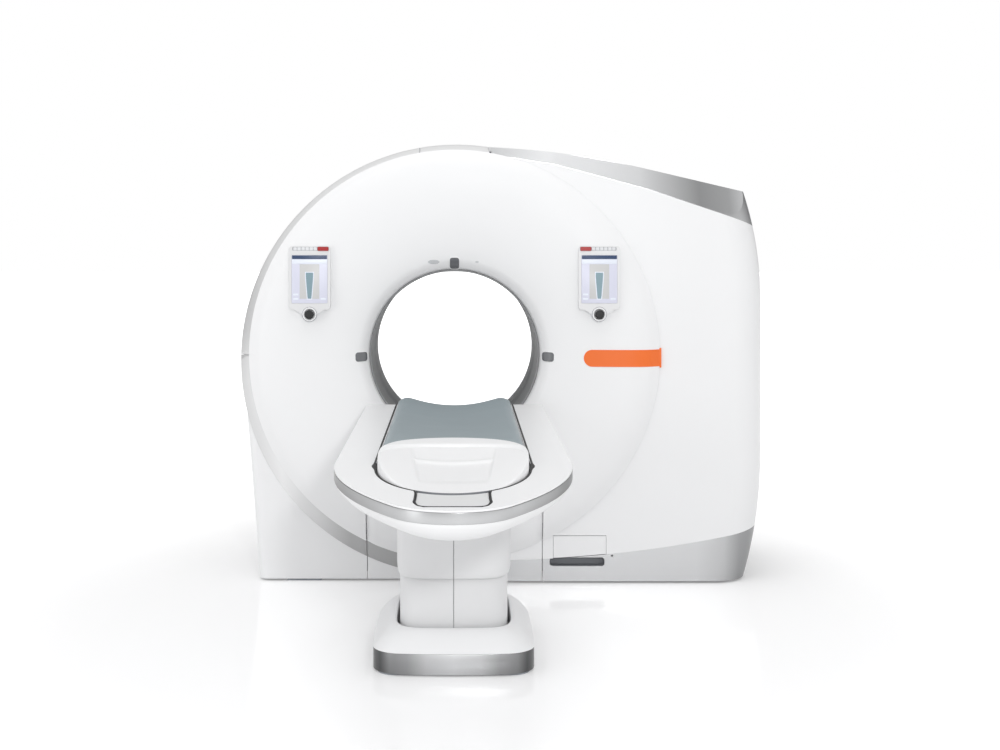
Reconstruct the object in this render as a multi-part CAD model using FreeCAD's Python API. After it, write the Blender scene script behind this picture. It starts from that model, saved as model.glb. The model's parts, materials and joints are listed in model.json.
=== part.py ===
import FreeCAD, Part
import math
import os

V = FreeCAD.Vector

# A whole-body computed tomography scanner: gantry with a rotating measuring
# system inside its covers, and a patient table with a lifting column and a
# sliding cradle. Millimetres, +Z up, floor at z = 0. The rotation axis runs
# along +Y through (0, 0, ISO_Z), and y = 0 is the plane of the fan beams.

# ---------------------------------------------------------------- gantry
ISO_Z = 1056.0            # height of the rotation axis
FRONT_Y = -450.0          # foremost plane of the front cover
REAR_Y = 500.0            # rearmost plane of the rear cover
BORE_R = 390.0            # 78 cm bore
DISC_R = 949.0            # edge of the round front cover
CREST_R = 820.0           # foremost circle of the round front cover
DISC_EDGE_Y = FRONT_Y + 40
BODY_Y_RIGHT = FRONT_Y + 50
BODY_Y_LEFT = FRONT_Y + 100
FRONT_RIM_Y = FRONT_Y + 110
REAR_RIM_Y = FRONT_RIM_Y + 575
COVER_T = 8.0             # wall of the moulded covers
FLOOR_GAP = 10.0          # the covers stop short of the floor
BAND_R = 1001.0           # rear circle of the metal band round the front cover
BAND_C = (10.0, 1025.0)   # its centre in x and z
BAND_Y = FRONT_Y + 100
BODY_R = 999.0            # left cover behind the band
SEAM_X = 162.0            # joints of the top cover
PANEL_X = 406.0           # joints of the removable lower panel
PANEL_Z = 628.0
SEAM = 3.0                # width of a joint between two covers
SIDE_Y = REAR_Y - 100     # joint between side covers and rear cover
LEFT_ROUND = 40.0         # front rounding of the left side
RIGHT_ROUND = 150.0       # front rounding of the right side
REAR_ROUND = 80.0

ANCHOR_X, ANCHOR_Y = 700.0, 300.0   # floor anchors of the gantry
ANCHOR_HOLE_R = 9.0

# ----------------------------------------------------------------- rotor
FOCUS_R = 595.0           # focal spot to rotation axis
FAN_R = 1085.0            # focal spot to detector
TUBE_A = 90.0             # angle of the first tube, counted from +X to +Z
TUBE_B = 185.0            # the second one sits 95 degrees further
DRUM_R = 850.0
DRUM_Y = 70.0             # front face of the drum's plate
STATOR_R = 862.0
STATOR_Y = 155.0
MOTOR_POLES = 24

# ----------------------------------------------------------------- table
DECK_Z = 836.0
DECK_HALF = 400.0
DECK_HEAD_Y = -470.0
DECK_SHOULDER_Y = -2160.0
DECK_NOSE_Y = -2958.0
NOSE_SIDE = (-1064.0, -2072.0, 1467.0)   # arc of the nose's right side: centre and radius
NOSE_TIP_R = 201.0
DECK_BAND_H = 40.0
BOWL_Z = 728.0
DECK_WALL = 6.0
CHANNEL_HALF = 259.0
CHANNEL_END_Y = -2215.0
CHANNEL_NOSE_Y = -2702.0
CHANNEL_Z = 770.0
NOTCH_Z = 806.0           # floor of the notch of the end tab
TAB_HALF = 113.0
TAB_Y = -2902.0
COLUMN_Y = -1425.0
UPPER_HALF = (212.0, 275.0)
LOWER_HALF = (201.0, 246.0)
UPPER_BOTTOM_Z = 336.0
LOWER_TOP_Z = 448.0
PLINTH_HALF = (303.0, 345.0)
PLINTH_R = 100.0
PLINTH_Y = -1430.0
PLINTH_BAND_Z = 82.0
PLINTH_TOP_Z = 158.0
CRADLE_HALF = 250.0
CRADLE_HEAD_Y = -720.0
CRADLE_FOOT_Y = -2150.0
CRADLE_SAG = 36.0
CRADLE_EDGE_Z = 863.0
CRADLE_T = 22.0
PAD_T = 35.0
CAP_Y = -2220.0           # widest place of the oval end moulding
CAP_HALF = 250.0
CAP_REAR, CAP_FRONT = 400.0, 470.0
FIT = 0.3                 # clearance between pieces that rest on each other


# ---------------------------------------------------------------- helpers
def export(shape, name):
    """Writes one piece, after checking that it is a sound solid."""
    if not shape.isValid() or shape.Volume <= 0:
        raise ValueError(name + " isn't a sound solid")
    shape.exportStep("parts/" + name + ".step")
    size = shape.BoundBox
    print("%-24s %3d solid  %9.1f cm3  z %.1f" %
          (name, len(shape.Solids), shape.Volume / 1000, size.ZMin))


def join(shapes):
    """One shape from several: fused, with the seams of equal faces removed."""
    first = shapes[0]
    return first.multiFuse(shapes[1:]).removeSplitter() if len(shapes) > 1 else first


def group(shapes):
    """Several separate solids that belong to one piece."""
    return Part.makeCompound(shapes)


def block(x0, x1, y0, y1, z0, z1):
    return Part.makeBox(x1 - x0, y1 - y0, z1 - z0, V(x0, y0, z0))


def polar(radius, angle, y=0.0):
    """Point at a radius and angle about the rotation axis."""
    turn = math.radians(angle)
    return V(radius * math.cos(turn), y, ISO_Z + radius * math.sin(turn))


def rod(radius, start, end):
    step = end - start
    return Part.makeCylinder(radius, step.Length, start, step)


def ring(r_in, r_out, y0, y1):
    """A flat ring about the rotation axis."""
    base = V(0, y0, ISO_Z)
    outer = Part.makeCylinder(r_out, y1 - y0, base, V(0, 1, 0))
    return outer.cut(Part.makeCylinder(r_in, y1 - y0, base, V(0, 1, 0)))


def turned(edges):
    """Revolves a closed section, drawn with x = radius, about the rotation axis."""
    face = Part.Face(Part.Wire(edges))
    return face.revolve(V(0, 0, ISO_Z), V(0, 1, 0), 360)


def section_points(pairs):
    """(radius, y) pairs as points of the half plane x > 0 through the axis."""
    return [V(radius, y, ISO_Z) for radius, y in pairs]


def line(start, end):
    return Part.LineSegment(start, end).toShape()


def polygon(points):
    return [line(points[i], points[(i + 1) % len(points)]) for i in range(len(points))]


def sector(r_in, r_out, start, stop, y0, y1):
    """A block bent round the rotation axis, from one angle to another."""
    corners = [polar(r_in, start, y0), polar(r_out, start, y0),
               polar(r_out, start, y1), polar(r_in, start, y1)]
    face = Part.Face(Part.Wire(polygon(corners)))
    return face.revolve(V(0, 0, ISO_Z), V(0, 1, 0), start - stop)


def placed(shape, angle):
    """Turns a shape built above the axis (angle 90) to another angle."""
    shape.rotate(V(0, 0, ISO_Z), V(0, 1, 0), 90 - angle)
    return shape


def rounded_frame(half_x, half_y, centre_y, radius, z):
    """Closed wire of a rectangle with round corners, flat at height z."""
    x, y, r = half_x, half_y, radius
    k = r * (1 - math.sqrt(0.5))
    runs = []
    corners = [(1, -1), (1, 1), (-1, 1), (-1, -1)]
    ends = []
    for sx, sy in corners:
        a = V(sx * x, centre_y + sy * (y - r), z)
        b = V(sx * (x - r), centre_y + sy * y, z)
        first, last = (a, b) if sx == sy else (b, a)
        mid = V(sx * (x - k), centre_y + sy * (y - k), z)
        runs.append(Part.Arc(first, mid, last).toShape())
        ends.append((first, last))
    edges = []
    for i in range(4):
        edges.append(runs[i])
        edges.append(line(ends[i][1], ends[(i + 1) % 4][0]))
    return Part.Wire(Part.__sortEdges__(edges))


def tube(half, centre_y, radius, wall, z0, z1):
    """Upright box tube with round corners."""
    outer = Part.Face(rounded_frame(half[0], half[1], centre_y, radius, z0))
    inner = Part.Face(rounded_frame(half[0] - wall, half[1] - wall, centre_y,
                                    max(radius - wall, 2), z0))
    return outer.cut(inner).extrude(V(0, 0, z1 - z0))


# ------------------------------------------------------- gantry: covers
# Rings of the front cover's face: radius and depth behind the foremost plane.
DISC_RINGS = [(BORE_R + 6, 108), (406, 82), (446, 50), (570, 20.5), (CREST_R, 0), (892, 11.5),
              (DISC_R, 40)]


def disc_front():
    """Front surface of the round cover, from the bore's lip over the crest to the edge."""
    return section_points([(radius, FRONT_Y + depth) for radius, depth in DISC_RINGS])


def disc_shell():
    """Round front cover: a funnel from the crest into the bore, bevelled outside."""
    back = section_points([(DISC_R, BODY_Y_RIGHT), (DISC_R - COVER_T, BODY_Y_RIGHT),
                           (DISC_R - COVER_T, DISC_EDGE_Y + 5), (CREST_R, FRONT_Y + COVER_T),
                           (452, FRONT_Y + 59), (BORE_R + 14, FRONT_RIM_Y - 2)])
    return turned(polygon(disc_front() + back))


def panel_zone(gap=0.0):
    """Space of the removable lower panel, narrowed or widened by a gap."""
    return block(-PANEL_X - gap, PANEL_X + gap, FRONT_Y - 50, SIDE_Y, -50, PANEL_Z + gap)


def band_ring():
    """Metal band: a slanting cone from the edge of the disc to a larger circle."""
    def cone(inset):
        front = Part.makeCircle(DISC_R - inset, V(0, BODY_Y_RIGHT, ISO_Z), V(0, 1, 0))
        rear = Part.makeCircle(BAND_R - inset, V(BAND_C[0], BAND_Y, BAND_C[1]), V(0, 1, 0))
        return Part.makeLoft([Part.Wire(front), Part.Wire(rear)], True, True)
    floor_cut = block(-1200, 1200, FRONT_Y - 10, REAR_Y, -200, FLOOR_GAP)
    flange = cone(0).common(block(-1200, 1200, BAND_Y - COVER_T, BAND_Y, -200, 2100))
    flange = flange.cut(Part.makeCylinder(DISC_R - COVER_T, 200, V(0, FRONT_Y, ISO_Z), V(0, 1, 0)))
    return join([cone(0).cut(cone(COVER_T)), flange]).cut(floor_cut)


def make_band():
    whole = band_ring()
    far = 1200
    gap = SEAM / 2
    y0, y1 = FRONT_Y, BAND_Y + 5
    upper_left = block(-far, -SEAM_X - gap, y0, y1, ISO_Z + gap, 2100)
    lower_left = block(-far, -PANEL_X - gap, y0, y1, -20, ISO_Z - gap)
    top = block(-SEAM_X + gap, SEAM_X - gap, y0, y1, ISO_Z, 2100)
    bottom = block(-PANEL_X + gap, 200, y0, y1, -20, PANEL_Z)
    export(whole.common(upper_left), "band_upper_left")
    export(whole.common(lower_left), "band_lower_left")
    export(whole.common(top), "band_top")
    return whole.common(bottom)


def foot_z(inset):
    """Height of an outline's lower edge: the inner one runs out below, open to the floor."""
    return FLOOR_GAP if inset == 0 else -60


LEFT_TURN = 4.75          # lean of the left side in degrees
TOP_R = 3907.0            # the long arc of the top, level at the band's centre
TOP_BREAK_X = 894.0       # where the top runs on straight
RIGHT_X = 1445.0          # the right side at its fullest
RIGHT_LOW = (588.0, 2093.0)    # height and radius of the side's lower arc
RIGHT_HIGH = (1303.0, 1641.0)  # and of its upper arc
RIGHT_END_X = 1366.0


def top_point(x, inset):
    """Point of the top's long arc."""
    centre_z = BAND_C[1] + BODY_R - TOP_R
    return V(x, 0, centre_z + math.sqrt((TOP_R - inset) ** 2 - (x - BAND_C[0]) ** 2))


def top_arc(x0, x1, inset):
    mid = top_point((x0 + x1) / 2, inset)
    return Part.Arc(top_point(x0, inset), mid, top_point(x1, inset)).toShape()


def left_outline(inset):
    """Left cover seen from the front: a leaning side that runs into a circle."""
    radius = BODY_R - inset
    cx, cz = BAND_C
    lean = math.radians(LEFT_TURN)
    hip = V(cx - radius * math.cos(lean), 0, cz - radius * math.sin(lean))
    foot = V(hip.x + (hip.z - foot_z(inset)) * math.tan(lean), 0, foot_z(inset))
    high_turn = math.radians(135.0)
    high = V(cx + radius * math.cos(high_turn), 0, cz + radius * math.sin(high_turn))
    crown = V(cx, 0, cz + radius)
    base = V(SEAM_X, 0, foot_z(inset))
    return [line(base, foot), line(foot, hip), Part.Arc(hip, high, crown).toShape(),
            top_arc(cx, SEAM_X, inset), line(top_point(SEAM_X, inset), base)]


def side_point(z, inset):
    """Point of the right side: an arc, an upright stretch and another arc."""
    x = RIGHT_X - inset
    for level, radius, beyond in (RIGHT_LOW + (z < RIGHT_LOW[0],),
                                  RIGHT_HIGH + (z > RIGHT_HIGH[0],)):
        if beyond:
            x = RIGHT_X - radius + math.sqrt((radius - inset) ** 2 - (z - level) ** 2)
    return V(x, 0, z)


def side_arc(z0, z1, inset):
    return Part.Arc(side_point(z0, inset), side_point((z0 + z1) / 2, inset),
                    side_point(z1, inset)).toShape()


def right_outline(inset):
    """Right cover seen from the front: sloping top and a full side."""
    floor = foot_z(inset)
    slope = (TOP_BREAK_X - BAND_C[0]) / TOP_R
    fall = top_point(TOP_BREAK_X, inset)
    high_z = fall.z - (RIGHT_END_X - TOP_BREAK_X) * math.tan(math.asin(slope)) - inset
    corner = side_point(high_z, inset)
    top_end_z = fall.z - (corner.x - fall.x) * math.tan(math.asin(slope))
    corner = side_point(top_end_z, inset)
    base = V(SEAM_X, 0, floor)
    low, high = RIGHT_LOW[0], RIGHT_HIGH[0]
    return [line(base, side_point(floor, inset)), side_arc(floor, low, inset),
            line(side_point(low, inset), side_point(high, inset)),
            side_arc(high, corner.z, inset), line(corner, fall),
            top_arc(TOP_BREAK_X, SEAM_X, inset), line(top_point(SEAM_X, inset), base)]


def side_edge(edge, y):
    """True for an outer edge in the plane y: of the side, and at the rear of the top too."""
    box = edge.BoundBox
    in_plane = abs(box.YMin - y) < 0.1 and box.YLength < 0.2
    middle = edge.valueAt((edge.FirstParameter + edge.LastParameter) / 2)
    upright = box.ZLength > 400 and (middle.x < -500 or middle.x > 1200)
    on_top = y > 0 and box.ZMin > 1500 and box.XLength > 50
    return in_plane and (upright or on_top)


def cover_body(outline, y0, y1, front_r, rear_r, inset=0.0):
    """Extrudes an outline along +Y and rounds the front and rear edges of its side.

    The hollow of a cover has a chamfer there, as wide as keeps the wall's thickness.
    """
    y0, y1 = y0 + inset, y1 - inset
    face = Part.Face(Part.Wire(outline(inset)))
    face.translate(V(0, y0, 0))
    solid = face.extrude(V(0, y1 - y0, 0))
    for y, radius in ((y0, front_r), (y1, rear_r)):
        picked = [edge for edge in solid.Edges if side_edge(edge, y)]
        if inset:
            solid = solid.makeChamfer(0.8 * (radius - inset), picked)
        else:
            solid = solid.makeFillet(radius, picked)
    return solid


BEVEL = [(SEAM_X + 2, 1985, 2022, 50), (460, 1939, 1999, 62), (894, 1824, 1923, 80),
         (1353, 1671.6, 1817, 95), (1500, 1620, 1783, 100)]   # x, low z, high z, depth


def bevel_tool():
    """Cuts the long bevel of the right cover's top edge, wider towards the right."""
    wires = []
    for x, z_low, z_high, depth in BEVEL:
        low = V(x, BODY_Y_RIGHT - 1, z_low)
        high = V(x, BODY_Y_RIGHT + depth, z_high + 3)
        out = V(x, BODY_Y_RIGHT - 1, z_high + 200)
        wires.append(Part.Wire(polygon([low, high, V(x, high.y, out.z), out])))
    return Part.makeLoft(wires, True, True)


def bevel_bound():
    """Front-view region of the bevel: everything above its lower edge."""
    points = [V(x, FRONT_Y - 20, z_low) for x, z_low, z_high, depth in BEVEL]
    points += [V(BEVEL[-1][0], FRONT_Y - 20, 2200), V(BEVEL[0][0], FRONT_Y - 20, 2200)]
    return Part.Face(Part.Wire(polygon(points)))


SKIRT_R = 5611.0          # arc of the skirt's upper edge, level at SKIRT_X
SKIRT_X, SKIRT_Z = 150.0, 107.0


def skirt_top(x):
    return SKIRT_Z + SKIRT_R - math.sqrt(SKIRT_R ** 2 - (x - SKIRT_X) ** 2)


def skirt_bound():
    """Front-view region of the metal skirt: everything below its upper edge."""
    first, mid, last = [V(x, FRONT_Y - 20, skirt_top(x)) for x in (SKIRT_X, 800, 1500)]
    low_last, low_first = V(last.x, last.y, -50), V(first.x, first.y, -50)
    return Part.Face(Part.Wire([Part.Arc(first, mid, last).toShape(), line(last, low_last),
                                line(low_last, low_first), line(low_first, first)]))


def open_side(x0, x1):
    """Room that opens a cover towards its neighbour, lower inside the rear's rounding."""
    return join([block(x0, x1, -480, REAR_Y - REAR_ROUND, -70, 1998),
                 block(x0, x1, REAR_Y - REAR_ROUND - 1, REAR_Y - COVER_T, -70, 1928)])


def make_side_covers():
    """Left, right and top covers, the skirt and the bevelled trim."""
    t = COVER_T
    disc_hole = Part.makeCylinder(DISC_R - 14, 200, V(0, FRONT_Y - 20, ISO_Z), V(0, 1, 0))
    left = cover_body(left_outline, BODY_Y_LEFT, REAR_Y, LEFT_ROUND, REAR_ROUND)
    left_hollow = cover_body(left_outline, BODY_Y_LEFT, REAR_Y, LEFT_ROUND, REAR_ROUND, t)
    left = left.cut(left_hollow).cut(open_side(SEAM_X - t - 1, SEAM_X + 5))
    right = cover_body(right_outline, BODY_Y_RIGHT, REAR_Y, RIGHT_ROUND, REAR_ROUND)
    right = right.cut(bevel_tool())
    hollow = cover_body(right_outline, BODY_Y_RIGHT, REAR_Y, RIGHT_ROUND, REAR_ROUND, t)
    bevel_inner = bevel_tool()
    bevel_inner.translate(V(0, t, -t))
    right = right.cut(hollow.cut(bevel_inner))
    right = right.cut(open_side(SEAM_X - 1, SEAM_X + t + 1))
    left = left.cut(disc_hole)
    right = right.cut(disc_hole)

    rear_zone = block(-1500, 1600, SIDE_Y, REAR_Y + 10, -20, 2100)
    front_zone = block(-1500, 1600, -500, SIDE_Y - SEAM, -20, 2100)
    rear = join([left.common(rear_zone), right.common(rear_zone)])
    make_rear_cover(rear)
    left = left.common(front_zone)
    right = right.common(front_zone)

    top_zone = block(-SEAM_X, SEAM_X + 50, -500, SIDE_Y, 1500, 2100)
    export(left.common(top_zone), "top_cover")
    panel_foot = left.common(block(-PANEL_X + SEAM / 2, 200, -500, -250, 0, PANEL_Z))
    left = left.cut(block(-SEAM_X - SEAM, 300, -500, REAR_Y, 1500, 2100))
    left = left.cut(block(-PANEL_X - SEAM / 2, 300, -500, REAR_Y, -20, 1500))
    export(left, "left_side_cover")

    trim_region = bevel_bound().extrude(V(0, 190, 0))
    trim = right.common(trim_region)
    right = right.cut(trim_region)
    skirt_region = skirt_bound().extrude(V(0, REAR_Y - FRONT_Y, 0))
    skirt = right.common(skirt_region)
    right = right.cut(skirt_region)
    front_bit = block(200 + SEAM, PANEL_X - SEAM / 2, -500, -250, -20, PANEL_Z)
    make_ring_cover([panel_foot, right.common(front_bit)])
    right = right.cut(block(0, PANEL_X + SEAM / 2, -500, 0, -20, PANEL_Z))
    export(group([make_band(), skirt.common(front_bit)]), "panel_band")
    skirt = skirt.cut(block(0, PANEL_X + SEAM / 2, -500, -150, -20, PANEL_Z))
    export(make_grip(skirt), "skirt")
    export(make_flap(right), "right_side_cover")
    export(trim, "top_trim")


def make_rear_cover(rear):
    """Rear cover with its louvres and the opening for the rear funnel."""
    opening = Part.makeCylinder(560, 400, V(0, REAR_Y - 200, ISO_Z), V(0, 1, 0))
    slots = []
    for side in (-640, 950):
        for row in range(6):
            z = 240 + row * 44
            slots.append(block(side - 190, side + 190, REAR_Y - 30, REAR_Y + 5, z, z + 20))
    export(rear.cut(opening).cut(group(slots)), "rear_cover")


def make_rear_funnel():
    """Mouth of the tunnel at the rear, flared and flanged over the rear cover."""
    section = section_points([
        (BORE_R, REAR_RIM_Y), (418, 410), (470, 474), (535, REAR_Y + 8), (575, REAR_Y + 8),
        (575, REAR_Y), (538, REAR_Y), (476, 468), (426, 407), (BORE_R + 8, REAR_RIM_Y)])
    export(turned(polygon(section)), "rear_funnel")


FLAP_X = (458.0, 701.0)
FLAP_TOP_Z = 219.0
FLAP_PIN = (BODY_Y_RIGHT + 4, FLAP_TOP_Z - 4)   # y and z of the flap's pins
GRIP_X = (440.0, 694.0)
GRIP_Z = (80.0, 120.0)
GRIP_DEPTH = 52.0
LATCH = (729.0, 128.0)    # key hole beside the flap, in x and z
LATCH_R = 4.5


def make_flap(cover):
    """Service flap beside the round cover, on two pins at its upper corners."""
    clear_disc = Part.makeCylinder(DISC_R + 3, 200, V(0, FRONT_Y - 20, ISO_Z), V(0, 1, 0))
    y0, y1 = BODY_Y_RIGHT - 5, BODY_Y_RIGHT + COVER_T
    zone = block(FLAP_X[0], FLAP_X[1], y0, y1, 0, FLAP_TOP_Z).cut(clear_disc)
    skirt_edge = skirt_bound().extrude(V(0, 200, 0))
    skirt_edge.translate(V(0, 0, 2.5))
    flap = cover.common(zone).cut(skirt_edge)
    pin_y, pin_z = FLAP_PIN
    pins = [rod(1.9, V(x - 4, pin_y, pin_z), V(x + 4, pin_y, pin_z)) for x in FLAP_X]
    export(join([flap] + pins), "access_flap")
    wider = block(FLAP_X[0] - 1.5, FLAP_X[1] + 1.5, y0, y1 + 2, 0, FLAP_TOP_Z + 2.5)
    holes = [rod(2.0, V(x - 5, pin_y, pin_z), V(x + 5, pin_y, pin_z)) for x in FLAP_X]
    return cover.cut(wider).cut(group(holes))


def make_grip(skirt):
    """Finger recess in the skirt, under the flap."""
    y0 = BODY_Y_RIGHT
    def pocket(extra, front, depth):
        x0, x1 = GRIP_X[0] - extra, GRIP_X[1] + extra
        z0, z1 = GRIP_Z[0] - extra, GRIP_Z[1] + extra
        centre = ((x0 + x1) / 2, (z0 + z1) / 2)
        return upright_plate((x1 - x0) / 2, (z1 - z0) / 2, 14 + extra, centre, front, depth)
    wall = pocket(3, y0 + COVER_T - 1, y0 + GRIP_DEPTH + 3)
    under = skirt_bound().extrude(V(0, REAR_Y - FRONT_Y, 0))
    latch = Part.makeCylinder(LATCH_R, COVER_T + 2, V(LATCH[0], y0 - 1, LATCH[1]), V(0, 1, 0))
    return join([skirt, wall.common(under)]).cut(pocket(0, y0 - 5, y0 + GRIP_DEPTH)).cut(latch)


def make_ring_cover(panel_parts):
    disc = disc_shell()
    panel = disc.common(panel_zone(-SEAM / 2))
    ring_part = disc.cut(panel_zone(SEAM / 2))
    pockets = []
    for angle in (90, 180, 0):
        pockets.append(laser_pocket(angle))
    ring_part = join([ring_part.cut(group(pockets))] + make_lasers())
    export(ring_part, "ring_cover")
    export(group([panel] + panel_parts), "lower_front_panel")


# ------------------------------------------------------ gantry: tunnel
WINDOW_HALF = 70.0        # half width of the radiation window
TUNNEL_T = 6.0


def make_tunnel():
    front = ring(BORE_R, BORE_R + TUNNEL_T, FRONT_RIM_Y, -WINDOW_HALF)
    lip = ring(BORE_R - 3, BORE_R + TUNNEL_T, FRONT_RIM_Y - 8, FRONT_RIM_Y + 8)
    rear = ring(BORE_R, BORE_R + TUNNEL_T, WINDOW_HALF, REAR_RIM_Y - FIT)
    export(group([join([front, lip]), rear]), "tunnel_liners")
    export(ring(BORE_R + 1, BORE_R + 4, -WINDOW_HALF, WINDOW_HALF), "scan_window")
    make_rear_funnel()


LASER_R = 424.0           # radius of the laser windows
LASER_SIZE = (44.0, 58.0)  # across and along the radius, with the frame


def laser_block(half_w, half_h, y0, y1):
    """A block with round corners, above the bore, along +Y."""
    flat = rounded_frame(half_w, half_h, 0, min(half_w, half_h) * 0.45, 0)
    solid = Part.Face(flat).extrude(V(0, 0, y1 - y0))
    solid.rotate(V(0, 0, 0), V(1, 0, 0), 90)
    solid.translate(V(0, y1, ISO_Z + LASER_R))
    return solid


def laser_pocket(angle):
    return placed(laser_block(LASER_SIZE[0] / 2, LASER_SIZE[1] / 2, FRONT_Y, -330), angle)


def make_lasers():
    """Positioning lasers at three places round the bore; returns their moulded frames."""
    frames, units = [], []
    front = FRONT_Y + 52
    for angle in (90, 180, 0):
        outer = laser_block(LASER_SIZE[0] / 2, LASER_SIZE[1] / 2, front, front + 40)
        inner = laser_block(LASER_SIZE[0] / 2 - 6, LASER_SIZE[1] / 2 - 6, front - 5, front + 45)
        glass = laser_block(LASER_SIZE[0] / 2 - 6, LASER_SIZE[1] / 2 - 6, front + 4, front + 8)
        unit = laser_block(13, 18, front + 8, front + 80)
        frames.append(placed(outer.cut(inner), angle))
        units.append(placed(join([glass, unit]), angle))
    export(group(units), "positioning_lasers")
    return frames


# ----------------------------------------------- gantry: control panels
PANEL_C = (663.0, 1415.0)   # centre of a control panel, mirrored to the left
PANEL_HALF = (95.0, 146.0)
PANEL_FACE_Y = FRONT_Y - 22
STICK_Z = 1248.0
SCREEN_HALF = (82.0, 110.0)
STOP_HALF = (25.0, 9.0)


def upright_plate(half_w, half_h, radius, centre, y0, y1):
    """A plate with round corners that faces -Y."""
    flat = rounded_frame(half_w, half_h, 0, radius, 0)
    solid = Part.Face(flat).extrude(V(0, 0, y1 - y0))
    solid.rotate(V(0, 0, 0), V(1, 0, 0), 90)
    solid.translate(V(centre[0], y1, centre[1]))
    return solid


def make_control_panel(side, sign):
    """One control panel: returns housing and display, writes stop button and joystick."""
    centre = (sign * PANEL_C[0], PANEL_C[1])
    rear = FRONT_Y + 30
    plate = upright_plate(PANEL_HALF[0], PANEL_HALF[1], 16, centre, PANEL_FACE_Y, rear)
    chin = Part.makeCylinder(34, rear - PANEL_FACE_Y, V(centre[0], PANEL_FACE_Y, STICK_Z),
                             V(0, 1, 0))
    neck_z = centre[1] - PANEL_HALF[1]
    wedge_points = [V(centre[0] - 80, PANEL_FACE_Y, neck_z + 8),
                    V(centre[0] + 80, PANEL_FACE_Y, neck_z + 8),
                    V(centre[0] + 30, PANEL_FACE_Y, STICK_Z - 4),
                    V(centre[0] - 30, PANEL_FACE_Y, STICK_Z - 4)]
    neck = Part.Face(Part.Wire(polygon(wedge_points))).extrude(V(0, rear - PANEL_FACE_Y, 0))
    body = join([plate, chin, neck])
    screen_c = (centre[0], centre[1] - 6)
    strip_z = centre[1] + PANEL_HALF[1] - 13
    stop_c = (centre[0] - sign * 62, strip_z)
    strip_c = (centre[0] + sign * 24, strip_z)
    cuts = [upright_plate(SCREEN_HALF[0] + 0.5, SCREEN_HALF[1] + 0.5, 5, screen_c,
                          PANEL_FACE_Y - 1, PANEL_FACE_Y + 6),
            upright_plate(STOP_HALF[0] + 0.6, STOP_HALF[1] + 0.6, 4.6, stop_c,
                          PANEL_FACE_Y - 1, PANEL_FACE_Y + 12),
            upright_plate(55, 7, 2, strip_c, PANEL_FACE_Y - 1, PANEL_FACE_Y + 1),
            Part.makeCylinder(24, 26, V(centre[0], PANEL_FACE_Y - 1, STICK_Z), V(0, 1, 0))]
    housing = body.cut(group(cuts)).cut(disc_filler())
    screen = upright_plate(SCREEN_HALF[0], SCREEN_HALF[1], 4.5, screen_c, PANEL_FACE_Y + 1,
                           PANEL_FACE_Y + 6)
    export(upright_plate(STOP_HALF[0], STOP_HALF[1], 4, stop_c, PANEL_FACE_Y - 4,
                         PANEL_FACE_Y + 7), side + "_stop_button")
    make_joystick(side, centre[0])
    return housing, screen


def disc_filler():
    """Everything behind the front surface of the round cover."""
    front = disc_front()
    behind = [V(front[-1].x, 0, ISO_Z), V(front[0].x, 0, ISO_Z)]
    return turned(polygon(front + behind))


def make_joystick(side, x):
    """Joystick with a gimbal ring, so that it tilts about both cross axes."""
    base = V(x, PANEL_FACE_Y + 12, STICK_Z)
    y = base.y
    gimbal = block(x - 15, x + 15, y - 3, y + 3, STICK_Z - 15, STICK_Z + 15)
    gimbal = gimbal.cut(block(x - 10, x + 10, y - 4, y + 4, STICK_Z - 10, STICK_Z + 10))
    pins = [rod(1.5, base + V(s * 15, 0, 0), base + V(s * 23.6, 0, 0)) for s in (-1, 1)]
    stem = block(x - 4, x + 4, y - 22, y + 4, STICK_Z - 4, STICK_Z + 4)
    cross = block(x - 1, x + 1, y - 1, y + 1, STICK_Z - 9.7, STICK_Z + 9.7)
    knob = Part.makeCone(16, 20, 9, base + V(0, -31, 0), V(0, 1, 0))
    export(join([gimbal] + pins), side + "_joystick_gimbal")
    export(join([knob, stem, cross]), side + "_joystick")


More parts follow.
